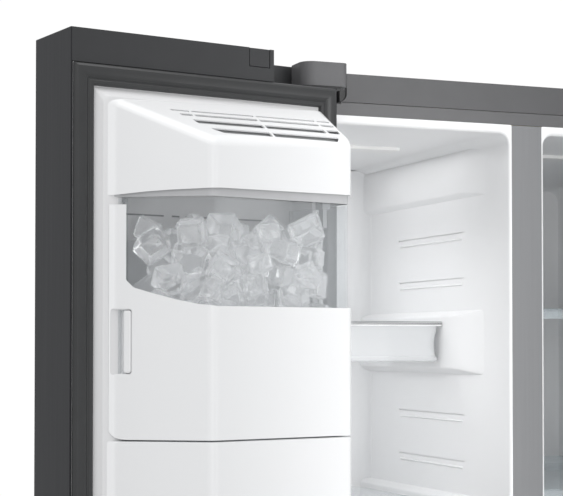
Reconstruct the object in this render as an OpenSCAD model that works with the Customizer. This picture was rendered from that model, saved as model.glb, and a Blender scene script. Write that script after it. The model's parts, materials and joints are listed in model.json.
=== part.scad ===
// Side by side refrigerator with an ice maker in the freezer door.
// Millimetres, +Z up. The origin is on the floor under the middle of the cabinet, and the front faces -Y.

/* [Cabinet] */
// Width of the cabinet
cabinet_w = 912; // [900:1:930]
// Height of the cabinet top above the floor
cabinet_h = 1780; // [1760:1:1800]
// Depth of the cabinet without the doors
cabinet_d = 728; // [720:1:740]
// Height of the base pan above the floor
foot_h = 32; // [30:1:36]
// Thickness of the steel panels
steel_t = 1.5; // [1.2:0.1:1.8]
// Thickness of the moulded plastic liners
liner_t = 2.5; // [2:0.1:3]

/* [Doors] */
// Width of the freezer door
freezer_door_w = 392; // [388:1:396]
// Gap between the two doors
door_gap = 6; // [6:0.5:8]
// Thickness of a door without its gasket
door_t = 106; // [104:1:107]
// Room for the gasket between a closed door and the cabinet
seal_gap = 10; // [9.5:0.5:11]
// How far the doors stand open
door_angle = 169; // [100:1:169]

/* [Ice maker] */
// How far the ice bucket stands out of the door liner
ice_depth = 84; // [80:1:88]
// Height of the ice bucket
bucket_h = 298; // [290:1:300]

/* [Hidden] */
$fn = 48;

// ---- Places on the cabinet ----
half_w = cabinet_w / 2;
front_y = -cabinet_d / 2;
back_y = cabinet_d / 2;
door_in_y = front_y - seal_gap;

// Hinge pin, measured from the side of the cabinet and from its front
pin_side = 14;
pin_out = 62;
pin_x = half_w - pin_side;
pin_y = front_y - pin_out;
pin_r = 6;

// Room all round a shaft or pin in its bore
bore_gap = 0.08;

// Doors
freezer_free_x = -half_w + freezer_door_w;
fridge_free_x = freezer_free_x + door_gap;
fridge_door_w = half_w - fridge_free_x;
door_bottom = 92;
door_h = cabinet_h - door_bottom;
cap_h = 42;
cap_low = 25;
notch_s = 100;
notch_wall = 12;
seal_in = 30;
seal_top = 71;
platform = 8;

// Openings of the two compartments
frame_top = cabinet_h - 60;
frame_bottom = 128;
room_top = cabinet_h - 73;
room_floor = 142;
room_back = back_y - 62;
mouth_side = 26;
room_side = 50;
mouth_d = 95;
mullion_w = 51;
mullion_x = freezer_free_x + door_gap / 2;
lip = 4;
freezer_right = mullion_x - mullion_w / 2 - lip;
fridge_left = mullion_x + mullion_w / 2 + lip;
machine_front = 90;
machine_top = 262;
step_top = 300;
trim_h = 41;

// Hinge cover and its pocket in the top corner of the cabinet
cover_in = 4;
cover_w = 66;
cover_front = 76;
cover_back = 68;
cover_h = 33;
plate_t = 4;
pocket_in = 22;
pocket_w = 92;
neck_in = 28;
neck_front = 30;

// Rear panel of the freezer, in front of the evaporator
rear_panel_y = 176;

// Heights of the shelves
freezer_shelf_z = [cabinet_h - 351, cabinet_h - 640, cabinet_h - 900];
fridge_shelf_z = [cabinet_h - 330, cabinet_h - 620, cabinet_h - 900];

// Fans
condenser_fan_at = [105, 190, 150];
evaporator_fan_at = [-248, 205, 880];
shaft_r = 2.95;
axle_r = 5;
foot_reach = condenser_fan_at[2] - foot_h - steel_t;

// Ice housing outline: across the door from its free edge, then out of the liner
ice_left = 46;
ice_turn = 147;
ice_right = freezer_door_w - 31;
wall = 3;
housing_bottom = -197;
bucket_top = -208;
bucket_bottom = bucket_top - bucket_h;
pocket_left = 68;
pocket_right = freezer_door_w - 42;
pocket_deep = 45;
window_bottom = -341;
auger_w = 2;
auger_z = -458;
tray_w = 8;
tray_z = -150;

// Dispenser recess in the outer face of the freezer door
niche_left = 96;
niche_w = 200;
niche_top = -532;
niche_h = 320;
niche_d = 74;
chute_r = 27;
chute_x = niche_left + niche_w / 2;

// Handle recess in the free edge of each door
grip_w = 26;
grip_d = 34;
grip_h = 300;
grip_top = -640;
grip_back = 60;

// ---- Helpers ----
module box(low, high) {
    translate(low) cube(high - low);
}

module mirrored_pair() {
    children();
    mirror([1, 0, 0]) children();
}

// Freezer door frame: x from the free edge to the hinge, y into the room, z up from the door top
module on_freezer_door() {
    translate([-pin_x, pin_y, 0]) rotate([0, 0, -door_angle]) translate([pin_x, -pin_y, 0])
        translate([freezer_free_x, door_in_y, cabinet_h]) mirror([1, 0, 0]) children();
}

// Fridge door frame: the same, from its own free edge
module on_fridge_door() {
    translate([pin_x, pin_y, 0]) rotate([0, 0, door_angle]) translate([-pin_x, -pin_y, 0])
        translate([fridge_free_x, door_in_y, cabinet_h]) children();
}

// A wheel standing on edge, its axle along X
module x_cylinder(r, length) {
    rotate([0, 90, 0]) cylinder(r = r, h = length);
}

module y_cylinder(r, length) {
    rotate([-90, 0, 0]) cylinder(r = r, h = length);
}

// An open-topped tray with one wall thickness
module tray(low, high, t) {
    difference() {
        box(low, high);
        box(low + [t, t, t], [high[0] - t, high[1] - t, high[2] + 1]);
    }
}

// ---- Compartments ----
// Depth profile of a compartment: the floor steps up over the machine space
module room_side_view(grow) {
    polygon([
        [front_y - 1, room_floor - grow],
        [machine_front - 70 + grow, room_floor - grow],
        [machine_front - 20 + grow, step_top - grow],
        [room_back + grow, step_top - grow],
        [room_back + grow, room_top + grow],
        [front_y - 1, room_top + grow]
    ]);
}

// Plan of a compartment: a wide mouth for the door dike, then a narrower room
module room_plan(mouth_x, wall_x, inner_x, grow) {
    out = sign(wall_x);
    polygon([
        [mouth_x + out * grow, front_y - 1],
        [mouth_x + out * grow, front_y + mouth_d + grow],
        [wall_x + out * grow, front_y + mouth_d + 24 + grow],
        [wall_x + out * grow, room_back + grow],
        [inner_x - out * grow, room_back + grow],
        [inner_x - out * grow, front_y - 1]
    ]);
}

module room(mouth_x, wall_x, inner_x, grow) {
    intersection() {
        translate([0, 0, room_floor - 10]) linear_extrude(room_top - room_floor + 20)
            room_plan(mouth_x, wall_x, inner_x, grow);
        translate([-half_w, 0, 0]) rotate([90, 0, 90]) linear_extrude(cabinet_w)
            room_side_view(grow);
    }
}

module freezer_room(grow) {
    room(-half_w + mouth_side, -half_w + room_side, freezer_right, grow);
}

module fridge_room(grow) {
    room(half_w - mouth_side, half_w - room_side, fridge_left, grow);
}

// Pocket in each top corner of the cabinet, where the hinge and its cover sit
module hinge_pocket() {
    box([-half_w + pocket_in, front_y - 1, cabinet_h - cap_h - 2],
        [-half_w + pocket_w, front_y + cover_back + 2, cabinet_h + 1]);
}

module machine_space() {
    box([-half_w - 1, machine_front, 0], [half_w + 1, back_y + 1, machine_top]);
}

// ---- Cabinet ----
module cabinet_shell() {
    color("dimgray") difference() {
        box([-half_w, front_y, foot_h], [half_w, back_y - steel_t, cabinet_h]);
        box([-half_w + steel_t, front_y - 1, foot_h - 1], [half_w - steel_t, back_y, cabinet_h - steel_t]);
        box([-half_w - 1, front_y - 1, cabinet_h - steel_t - 1], [half_w + 1, front_y + 22, cabinet_h + 1]);
        mirrored_pair() hinge_pocket();
    }
}

module back_panel() {
    color("gray") box([-half_w, back_y - steel_t, machine_top], [half_w, back_y, cabinet_h]);
}

module base_pan() {
    color("dimgray") {
        difference() {
            box([-half_w + steel_t, front_y + steel_t, foot_h],
                [half_w - steel_t, back_y - steel_t, foot_h + steel_t]);
            for (side = [-1, 1])
                translate([side * (half_w - 60), front_y + 60, foot_h - 1]) cylinder(r = 7, h = 10);
            for (side = [-1, 1])
                box([side * (half_w - 55) - 14.5, back_y - 85, foot_h - 1],
                    [side * (half_w - 55) + 14.5, back_y - 25, foot_h + 5]);
        }
        for (side = [-1, 1])
            roller_fork(side);
    }
}

// Two ears and an axle that carry a rear roller
module roller_fork(side) {
    translate([side * (half_w - 55), back_y - 55, 25]) {
        for (ear = [-1, 1])
            difference() {
                box([ear * 17 - 1.5, -14, -9], [ear * 17 + 1.5, 14, foot_h - 25]);
                translate([ear * 17 - 3, 0, 0]) x_cylinder(axle_r, 6);
            }
        translate([-20, 0, 0]) x_cylinder(axle_r, 40);
    }
}

module cabinet_foam() {
    color("khaki") difference() {
        box([-half_w + steel_t, front_y + 4, foot_h + steel_t],
            [half_w - steel_t, back_y - steel_t, cabinet_h - steel_t]);
        freezer_room(liner_t);
        fridge_room(liner_t);
        machine_space();
        mirrored_pair() hinge_pocket();
        mirrored_pair() translate([-half_w + 60, front_y + 60, foot_h]) cylinder(r = 9, h = 28);
        box([-half_w, front_y, cabinet_h - trim_h - 2], [half_w, front_y + 23, cabinet_h]);
    }
}

module freezer_liner() {
    color("white") {
        difference() {
            intersection() {
                freezer_room(liner_t);
                box([-half_w, front_y, 0], [half_w, back_y, cabinet_h]);
            }
            freezer_room(0);
        }
        liner_lip(-half_w + mouth_side, freezer_right, -1);
        for (z = freezer_shelf_z)
            ledges(-half_w + room_side, freezer_right, z - 4, front_y + 205, rear_panel_y - 10);
        ledges(-half_w + room_side, freezer_right, step_top + 90, front_y + 125, rear_panel_y - 20);
    }
}

// A pair of ledges moulded on facing walls, their top at z
module ledges(low_x, high_x, z, y0, y1) {
    box([low_x, y0, z - 5], [low_x + 8, y1, z]);
    box([high_x - 8, y0, z - 5], [high_x, y1, z]);
}

module fridge_liner() {
    color("white") {
        difference() {
            intersection() {
                fridge_room(liner_t);
                box([-half_w, front_y, 0], [half_w, back_y, cabinet_h]);
            }
            fridge_room(0);
        }
        liner_lip(fridge_left, half_w - mouth_side, 1);
        for (z = fridge_shelf_z)
            ledges(fridge_left, half_w - room_side, z - 4, front_y + 158, room_back - 30);
        ledges(fridge_left, half_w - room_side, step_top + 120, front_y + 130, room_back - 60);
    }
}

// Front flange of a liner, from its mouth to the steel frame
module liner_lip(low_x, high_x, side) {
    reach_low = side < 0 ? low_x - liner_t : low_x - lip;
    reach_high = side < 0 ? high_x + lip : high_x + liner_t;
    difference() {
        box([reach_low, front_y, frame_bottom], [reach_high, front_y + liner_t, frame_top]);
        box([low_x, front_y - 1, room_floor], [high_x, front_y + liner_t + 1, room_top]);
    }
}

// Decorative strip over both doors, cut away with a curved end round each hinge cover
module top_trim() {
    color("gray") {
        difference() {
            box([-half_w + steel_t, front_y, cabinet_h - trim_h], [half_w - steel_t, front_y + 3, cabinet_h]);
            mirrored_pair() {
                box([-half_w - 1, front_y - 1, cabinet_h - 29], [-half_w + 101, front_y + 4, cabinet_h + 1]);
                box([-half_w - 1, front_y - 1, cabinet_h - trim_h - 1],
                    [-half_w + 89, front_y + 4, cabinet_h + 1]);
                translate([-half_w + 89, front_y - 1, cabinet_h - 29]) y_cylinder(12, 5);
            }
        }
        box([-half_w + 101, front_y + 3, cabinet_h - 3], [half_w - 101, front_y + 22, cabinet_h]);
    }
}

// Steel front frame round both compartments
module front_frame() {
    color("gray") difference() {
        box([-half_w + steel_t, front_y, door_bottom],
            [half_w - steel_t, front_y + steel_t, cabinet_h - trim_h - 0.5]);
        box([-half_w + mouth_side - liner_t, front_y - 1, frame_bottom],
            [half_w - mouth_side + liner_t, front_y + 3, frame_top]);
        mirrored_pair() hinge_pocket();
    }
}

module mullion_plate() {
    color("silver") box([mullion_x - mullion_w / 2, front_y, frame_bottom + 0.5],
        [mullion_x + mullion_w / 2, front_y + steel_t, frame_top - 0.5]);
}

// Rounded cover over the left hinge
module hinge_cover() {
    corner = 18;
    x0 = -half_w + cover_in;
    x1 = x0 + cover_w;
    y0 = front_y - cover_front;
    y1 = front_y + cover_back;
    difference() {
        union() {
            translate([0, 0, cabinet_h - cover_h]) linear_extrude(cover_h) {
                translate([x0, y0 + corner]) square([cover_w, y1 - y0 - corner]);
                translate([x0 + corner, y0]) square([cover_w - corner - 8, corner + 1]);
                translate([x0 + corner, y0 + corner]) circle(r = corner);
                translate([x1 - 8, y0 + 8]) circle(r = 8);
                translate([x1 - 10, y0 + 8]) square([10, corner]);
            }
        }
        box([x0 + 2.5, y0 + corner, cabinet_h - cover_h - 1], [x1 - 2.5, y1 - 2.5, cabinet_h - 2.5]);
        box([x0 + corner, y0 + 2.5, cabinet_h - cover_h - 1], [x1 - 8, y0 + corner + 1, cabinet_h - 2.5]);
        translate([-pin_x, pin_y, cabinet_h - cover_h - 1]) cylinder(r = 9, h = 10);
        // Neck behind the pin, which leaves room for the end of the open door
        box([x0 - 1, front_y - neck_front, cabinet_h - cover_h - 1], [-half_w + neck_in, y1 + 1, cabinet_h + 1]);
    }
    box([-half_w + neck_in, front_y - neck_front, cabinet_h - cover_h], [-half_w + neck_in + 2.5, y1, cabinet_h]);
}

module hinge_cover_left() {
    color("gray") hinge_cover();
}

module hinge_cover_right() {
    color("gray") mirror([1, 0, 0]) hinge_cover();
}

// Steel hinge plate with its pin, screwed to the floor of the corner pocket
module upper_hinge() {
    top = cabinet_h - cover_h;
    low_x = -half_w + neck_in;
    high_x = -pin_x + 46;
    translate([-pin_x, pin_y, top - plate_t]) cylinder(r = 13, h = plate_t);
    box([-pin_x, pin_y - 13, top - plate_t], [high_x, front_y - neck_front, top]);
    box([low_x, front_y - neck_front, top - plate_t], [high_x, front_y + cover_back, top]);
    translate([-pin_x, pin_y, top - plate_t - 20]) cylinder(r = pin_r, h = 26);
    box([low_x, front_y + 4, top - plate_t - 7], [high_x, front_y + cover_back, top - plate_t]);
    for (row = [0, 1])
        translate([-pin_x + 30, front_y + 20 + 28 * row, top]) cylinder(r = 6, h = 5);
}

module upper_hinge_left() {
    color("darkslategray") upper_hinge();
}

module upper_hinge_right() {
    color("darkslategray") mirror([1, 0, 0]) upper_hinge();
}

module lower_hinges() {
    color("darkslategray") mirrored_pair() {
        box([-pin_x - 10, pin_y - 12, door_bottom - 8], [-pin_x + 60, front_y - 3, door_bottom - 4]);
        box([-pin_x - 10, front_y - 3, foot_h + 4], [-pin_x + 60, front_y, door_bottom - 4]);
        translate([-pin_x, pin_y, door_bottom - 4]) cylinder(r = 12, h = 3);
        translate([-pin_x, pin_y, door_bottom - 4]) cylinder(r = pin_r, h = 22);
    }
}

module toe_grille() {
    slots = 10;
    width = cabinet_w - 200;
    color("dimgray") difference() {
        box([-width / 2, front_y - 6, 16], [width / 2, front_y, door_bottom - 12]);
        for (i = [0 : slots - 1])
            box([-width / 2 + 30 + i * (width - 40) / slots, front_y - 7, 44],
                [-width / 2 + 10 + (i + 1) * (width - 40) / slots, front_y + 1, 58]);
    }
}

// Screw foot: pad, hexagon and threaded stem
module leveling_foot() {
    cylinder(r = 19, h = 8);
    translate([0, 0, 8]) cylinder(r = 11, h = 10, $fn = 6);
    translate([0, 0, 18]) cylinder(r = 6, h = 36);
}

module foot_left() {
    color("dimgray") translate([-half_w + 60, front_y + 60, 0]) leveling_foot();
}

module foot_right() {
    color("dimgray") translate([half_w - 60, front_y + 60, 0]) leveling_foot();
}

module roller() {
    difference() {
        translate([-12, 0, 25]) x_cylinder(25, 24);
        translate([-13, 0, 25]) x_cylinder(axle_r + bore_gap, 26);
        for (turn = [0 : 60 : 300])
            translate([-13, 0, 25]) rotate([turn, 0, 0]) translate([0, 15, 0]) x_cylinder(4, 26);
    }
}

module roller_left() {
    color("black") translate([-half_w + 55, back_y - 55, 0]) roller();
}

module roller_right() {
    color("black") translate([half_w - 55, back_y - 55, 0]) roller();
}

// ---- Cooling system ----
module compressor() {
    color("black") translate([280, 225, foot_h + steel_t]) {
        for (dx = [-80, 80])
            for (dy = [-60, 60])
                translate([dx, dy, 0]) cylinder(r = 14, h = 14);
        box([-105, -72, 14], [105, 72, 17]);
        translate([0, 0, 17]) cylinder(r = 68, h = 76);
        translate([0, 0, 93]) intersection() {
            sphere(r = 68);
            cylinder(r = 69, h = 69);
        }
        translate([68, -30, 40]) cube([20, 60, 50]);
    }
}

// Serpentine condenser: straight tubes joined by end blocks, with plate fins
module condenser() {
    rows = 6;
    color("black") translate([-170, 140, foot_h + 12]) {
        for (row = [0 : rows - 1])
            for (bank = [0 : 1])
                translate([0, bank * 40, 18 + row * 28]) x_cylinder(4, 230);
        for (fin = [0 : 9])
            difference() {
                box([14 + fin * 22, -12, 0], [15.5 + fin * 22, 52, 180]);
                for (row = [0 : rows - 1])
                    for (bank = [0 : 1])
                        translate([12 + fin * 22, bank * 40, 18 + row * 28]) x_cylinder(4, 6);
            }
        box([-4, -12, 0], [0, 52, 180]);
        box([230, -12, 0], [234, 52, 180]);
    }
    color("dimgray") fan_mount();
}

// Plate behind the condenser fan, with its motor on four arms
module fan_mount() {
    translate(condenser_fan_at) rotate([0, 90, 0]) {
        difference() {
            box([-86, -82, -14], [foot_reach, 82, -11]);
            translate([0, 0, -15]) cylinder(r = 78, h = 5);
        }
        for (turn = [45 : 90 : 315])
            rotate([0, 0, turn]) box([14, -4, -14], [81, 4, -11]);
        translate([0, 0, -20]) cylinder(r = 20, h = 19);
        translate([0, 0, -2]) cylinder(r = shaft_r, h = 22);
    }
}

// Axial fan rotor: hub and blades round an axle along Z
module fan_rotor(hub_r, tip_r, blades, depth) {
    difference() {
        cylinder(r = hub_r, h = depth);
        translate([0, 0, -1]) cylinder(r = 3, h = depth - 4);
    }
    for (i = [0 : blades - 1])
        rotate([0, 0, i * 360 / blades]) translate([hub_r - 3, 0, depth / 2]) rotate([32, 0, 0])
            translate([0, -depth * 0.55, -1]) cube([tip_r - hub_r, depth * 1.1, 2]);
}

module condenser_fan() {
    color("dimgray") translate(condenser_fan_at) rotate([0, 90, 0]) fan_rotor(22, 75, 5, 26);
}

module drain_pan() {
    color("dimgray") tray([-430, 110, foot_h + steel_t], [-200, 272, foot_h + 60], 2.5);
}

module machine_cover() {
    slots = 14;
    color("gray") difference() {
        box([-half_w + steel_t, back_y - steel_t, foot_h + 2], [half_w - steel_t, back_y, machine_top - 0.5]);
        for (i = [0 : slots - 1])
            box([-350 + i * 50, back_y - 3, 90], [-320 + i * 50, back_y + 1, 200]);
    }
}

module evaporator() {
    rows = 8;
    color("silver") translate([-380, 212, 480]) {
        for (row = [0 : rows - 1])
            for (bank = [0 : 1])
                translate([0, 14 + bank * 32, 20 + row * 36]) x_cylinder(4, 270);
        for (fin = [0 : 11])
            difference() {
                box([8 + fin * 23, 0, 0], [9.2 + fin * 23, 60, 292]);
                for (row = [0 : rows - 1])
                    for (bank = [0 : 1])
                        translate([6 + fin * 23, 14 + bank * 32, 20 + row * 36]) x_cylinder(4, 6);
            }
    }
}

module evaporator_cover() {
    middle = (freezer_right - half_w + room_side) / 2;
    low_x = -half_w + room_side + 0.5;
    high_x = freezer_right - 0.5;
    color("white") difference() {
        union() {
            box([low_x, rear_panel_y, step_top + 0.5], [high_x, rear_panel_y + 3, room_top - 0.5]);
            box([low_x, rear_panel_y + 3, room_top - 40], [high_x, room_back - 0.5, room_top - 37]);
        }
        for (row = [0 : 3])
            for (column = [0 : 3])
                box([middle - 98 + column * 52, rear_panel_y - 1, 1000 + row * 16],
                    [middle - 58 + column * 52, rear_panel_y + 4, 1007 + row * 16]);
        for (column = [0 : 4])
            box([middle - 120 + column * 50, rear_panel_y - 1, 340],
                [middle - 84 + column * 50, rear_panel_y + 4, 352]);
        for (column = [0 : 4])
            box([middle - 120 + column * 50, rear_panel_y - 1, 1600],
                [middle - 84 + column * 50, rear_panel_y + 4, 1612]);
    }
    // Fan motor on the back of the panel
    color("dimgray") translate([evaporator_fan_at[0], rear_panel_y + 3, evaporator_fan_at[2]]) {
        y_cylinder(16, 22);
        y_cylinder(shaft_r, 42);
    }
}

module evaporator_fan() {
    color("dimgray") translate(evaporator_fan_at) rotate([-90, 0, 0]) fan_rotor(18, 52, 5, 22);
}

// Lamp lenses under the ceiling of each compartment
module light_lenses() {
    color("lightyellow") {
        box([-330, front_y + 210, room_top - 5], [-170, front_y + 250, room_top]);
        box([80, front_y + 210, room_top - 5], [300, front_y + 250, room_top]);
    }
}

// ---- Shelves and drawers ----
// Plastic shelf with a front trim bar and a raised back edge
module shelf(low_x, high_x, y0, y1, z, trim_t) {
    box([low_x, y0 + 8, z - 4], [high_x, y1, z]);
    box([low_x, y0, z - trim_t], [high_x, y0 + 8, z]);
    box([low_x, y1 - 4, z], [high_x, y1, z + 14]);
}

module freezer_shelves() {
    gap = 0.5;
    front = front_y + 197;
    color("whitesmoke") {
        for (z = freezer_shelf_z)
            shelf(-half_w + room_side + gap, freezer_right - gap, front, rear_panel_y - 10, z, 7);
        shelf_skirt(-half_w + room_side + 10, freezer_right - 10, front + 4, freezer_shelf_z[0] - 4);
    }
}

// Moulded skirt that hangs under the top freezer shelf, with a lip along its lower edge
module shelf_skirt(low_x, high_x, y0, top) {
    t = 2.5;
    drop = 60;
    depth = 190;
    difference() {
        box([low_x, y0, top - drop], [high_x, y0 + depth, top]);
        box([low_x + t, y0 + t, top - drop + t], [high_x - t, y0 + depth + 1, top + 1]);
        box([low_x + 18, y0 + 18, top - drop - 1], [high_x - 18, y0 + depth + 1, top - 1]);
    }
}

module fridge_shelves() {
    gap = 0.5;
    color("whitesmoke")
        for (z = fridge_shelf_z)
            shelf(fridge_left + gap, half_w - room_side - gap, front_y + 150, room_back - 30, z, 16);
}

// Drawer with a finger lip along its front
module drawer(low, high) {
    tray(low, high, 2.5);
    box([low[0] + 40, low[1] - 16, high[2] - 26], [high[0] - 40, low[1], high[2] - 22]);
    box([low[0] + 40, low[1] - 16, high[2] - 34], [high[0] - 40, low[1] - 13, high[2] - 26]);
}

module freezer_drawer_1() {
    color("whitesmoke") drawer([-half_w + room_side + 6, front_y + 118, step_top + 90],
        [freezer_right - 6, rear_panel_y - 20, step_top + 280]);
}

module freezer_drawer_2() {
    color("whitesmoke") drawer([-half_w + room_side + 6, front_y + 118, room_floor],
        [freezer_right - 6, 10, step_top + 70]);
}

module crisper_1() {
    color("lightcyan") drawer([fridge_left + 6, front_y + 122, step_top + 120],
        [half_w - room_side - 6, room_back - 60, step_top + 300]);
}

module crisper_2() {
    color("lightcyan") drawer([fridge_left + 6, front_y + 122, room_floor],
        [half_w - room_side - 6, 10, step_top + 100]);
}

// ---- Door parts, in a door's own frame ----
// Steel wrap: the outer face and both long edges
module door_skin(width) {
    difference() {
        box([0, -door_t, -door_h], [width, 0, 0]);
        box([steel_t, -door_t + steel_t, -door_h - 1], [width - steel_t, 1, 1]);
        box([width - notch_s, -door_t + notch_wall, -cap_h], [width + 1, 1, 1]);
        grip_cut();
    }
}

// Top and bottom end caps; the top one leaves a notch for the hinge
module door_caps(width) {
    low_s = steel_t;
    high_s = width - steel_t;
    out = -door_t + steel_t;
    difference() {
        union() {
            box([low_s, out, -cap_h], [high_s, 0, 0]);
            box([low_s, out, -cap_h - cap_low], [high_s, -liner_t, -cap_h]);
        }
        box([low_s + 4, out + 4, -cap_h - cap_low - 1], [width - notch_s - 8, -6, -4]);
        box([width - notch_s, -door_t + notch_wall, -cap_h], [width + 1, 1, 1]);
        translate([width - pin_side, -pin_out + seal_gap, -cap_h - 20]) cylinder(r = pin_r + bore_gap, h = 30);
        box([width - notch_s - 38, -4, -25], [width - notch_s - 6, 1, 1]);
    }
    // Square plug in the inner face of the top cap
    box([width - notch_s - 37, -3.5, -24], [width - notch_s - 7, -0.3, -0.4]);
    difference() {
        box([low_s, out, -door_h], [high_s, 0, -door_h + 36]);
        box([low_s + 4, out + 4, -door_h + 4], [width - 60, -6, -door_h + 37]);
        translate([width - pin_side, -pin_out + seal_gap, -door_h - 1]) cylinder(r = pin_r + bore_gap, h = 24);
    }
}

// Insulation between the skin and the liner
module door_foam(width) {
    box([steel_t, -door_t + steel_t, -door_h + 36], [width - steel_t, -liner_t, -cap_h - cap_low]);
    box([seal_in + liner_t, -liner_t, -door_h + 62], [width - seal_in - liner_t, platform - liner_t, -seal_top - liner_t]);
}

// Flange under the gasket and a raised platform inside it
module liner_sheet(width) {
    box([steel_t + 1, -liner_t, -door_h + 37], [width - steel_t - 1, 0, -cap_h - 1]);
    box([seal_in, 0, -door_h + 60], [width - seal_in, platform, -seal_top]);
}

module liner_hollow(width) {
    box([seal_in + liner_t, -liner_t - 1, -door_h + 62],
        [width - seal_in - liner_t, platform - liner_t, -seal_top - liner_t]);
}

// Magnetic gasket: a flat frame
module gasket(width) {
    difference() {
        box([3, 0, -door_h + 30 + 2], [width - 3, platform - 0.5, -cap_h - 1.5]);
        box([seal_in - 0.5, -1, -door_h + 60 - 0.5], [width - seal_in + 0.5, platform + 1, -seal_top + 0.5]);
    }
}

// Recessed grip in the free edge
module grip_cut() {
    box([-1, -grip_back - grip_d, grip_top - grip_h], [grip_w, -grip_back, grip_top]);
}

module handle_cup() {
    t = 2;
    difference() {
        box([0, -grip_back - grip_d, grip_top - grip_h], [grip_w, -grip_back, grip_top]);
        box([-1, -grip_back - grip_d + t, grip_top - grip_h + t], [grip_w - t, -grip_back - t, grip_top - t]);
    }
}

// Shallow bin that hangs on a door liner
module door_bin(width, z, height) {
    tray([seal_in + 14, platform, z], [width - seal_in - 14, platform + ice_depth, z + height], 2.5);
}

// ---- Freezer door ----
module freezer_door_skin() {
    color("dimgray") on_freezer_door() difference() {
        door_skin(freezer_door_w);
        niche_cut();
        panel_cut();
    }
}

module freezer_door_caps() {
    color("dimgray") on_freezer_door() door_caps(freezer_door_w);
}

module freezer_door_foam() {
    color("khaki") on_freezer_door() difference() {
        door_foam(freezer_door_w);
        niche_cut();
        panel_cut();
        ice_pocket(liner_t);
        chute(chute_r + 2.5);
        grip_cut();
    }
}

module freezer_door_liner() {
    color("white") on_freezer_door() difference() {
        union() {
            difference() {
                liner_sheet(freezer_door_w);
                liner_hollow(freezer_door_w);
            }
            intersection() {
                ice_pocket(liner_t);
                box([0, -door_t, -door_h], [freezer_door_w, platform, 0]);
            }
        }
        ice_pocket(0);
        chute(chute_r + 2.5);
    }
}

module freezer_gasket() {
    color("dimgray") on_freezer_door() gasket(freezer_door_w);
}

module freezer_handle() {
    color("black") on_freezer_door() handle_cup();
}

module niche_cut() {
    box([niche_left, -door_t - 1, niche_top - niche_h],
        [niche_left + niche_w, -door_t + niche_d, niche_top]);
}

module panel_cut() {
    box([niche_left, -door_t - 1, niche_top + 12], [niche_left + niche_w, -door_t + 14, niche_top + 92]);
}

// Recess in the liner for the back of the ice bucket
module ice_pocket(grow) {
    box([pocket_left - grow, -pocket_deep - grow, bucket_bottom - 3 - grow],
        [pocket_right + grow, platform + 1, -112 + grow]);
}

// Inclined passage from the bucket to the dispenser
module chute(r) {
    translate([chute_x, -16, bucket_bottom + 6]) rotate([-42, 0, 0]) translate([0, 0, -52]) cylinder(r = r, h = 62);
}

// Plan outline shared by the ice housing, the bucket and the chute cover
module ice_outline() {
    front = platform + ice_depth;
    polygon([
        [ice_left, platform],
        [ice_left, platform + 1.5],
        [ice_left + 10, platform + 2],
        [ice_turn, front],
        [ice_right, front - 8],
        [ice_right, platform]
    ]);
}

// The same outline set in by a wall, running back past the liner
module ice_outline_inset(inset, back) {
    front = platform + ice_depth;
    slope = (ice_turn - ice_left - 10) / (ice_depth - 2);
    slant = sqrt(1 + slope * slope);
    polygon([
        [ice_left + 10 - slope * (2 + back) + slant * inset, platform - back],
        [ice_turn + 0.3 * inset, front - inset],
        [ice_right - inset, front - 8 - inset],
        [ice_right - inset, platform - back]
    ]);
}

module ice_solid(low, high) {
    translate([0, 0, low]) linear_extrude(high - low) ice_outline();
}

module ice_hollow(inset, low, high) {
    translate([0, 0, low]) linear_extrude(high - low) ice_outline_inset(inset, 2);
}

// Side view of the ice housing with its sloping top
module housing_slope(inset) {
    reach = platform + ice_depth + 20;
    drop = 1.2 * inset;
    translate([freezer_door_w, 0, 0]) rotate([90, 0, -90]) linear_extrude(freezer_door_w)
        polygon([
            [-reach, housing_bottom - 40],
            [-reach, -144 - drop],
            [-platform, -76 - drop],
            [-platform + 4, -76 - drop],
            [-platform + 4, housing_bottom - 40]
        ]);
}

module ice_housing() {
    vents = 4;
    color("white") on_freezer_door() difference() {
        intersection() {
            ice_solid(housing_bottom, -74);
            housing_slope(0);
        }
        intersection() {
            ice_hollow(wall, housing_bottom - 1, -74);
            housing_slope(wall);
        }
        for (row = [0 : vents - 1])
            for (part = [0 : 2])
                translate([0, platform + 18 + row * 17, 0])
                    box([150 + row * 4 + part * 68, 0, -160], [212 + row * 4 + part * 66, 7, -60]);
    }
}

// Ice maker frame with its motor box, screwed to the back of the pocket
module ice_maker() {
    color("lightgray") on_freezer_door() {
        difference() {
            box([100, -pocket_deep, -184], [330, -pocket_deep + 6, -118]);
            box([130, -pocket_deep - 1, -176], [300, -pocket_deep + 7, -126]);
        }
        box([296, -pocket_deep + 6, -184], [330, 58, -118]);
        difference() {
            box([100, -pocket_deep + 6, -184], [106, tray_w + 30, -130]);
            translate([99, tray_w, tray_z]) x_cylinder(axle_r + bore_gap, 8);
        }
    }
}

// Twisting ice tray on a horizontal axle
module ice_tray() {
    color("lightgray") on_freezer_door() translate([0, tray_w, tray_z]) {
        difference() {
            box([112, -32, -14], [290, 32, 12]);
            for (row = [0 : 1])
                for (cell = [0 : 5])
                    box([115 + cell * 29, -29 + row * 30, -11], [141 + cell * 29, -1 + row * 30, 13]);
        }
        translate([100.5, 0, 0]) x_cylinder(axle_r, 11.5);
        translate([290, 0, 0]) x_cylinder(axle_r, 5.5);
    }
}

// Lever that feels how full the bucket is
module sensor_arm() {
    color("gray") on_freezer_door() translate([330.3, 46, -174]) {
        x_cylinder(4, 16);
        box([2, -8, -38], [14, 8, 2]);
        box([5, -5, -62], [11, 5, -38]);
    }
}

module chute_cover() {
    top = bucket_bottom - 2;
    color("white") on_freezer_door() difference() {
        ice_solid(top - 136, top);
        ice_hollow(wall, top - 136 + wall, top - wall);
        translate([chute_x, platform + 30, top - wall - 1]) cylinder(r = chute_r, h = wall + 2);
    }
}

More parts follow.
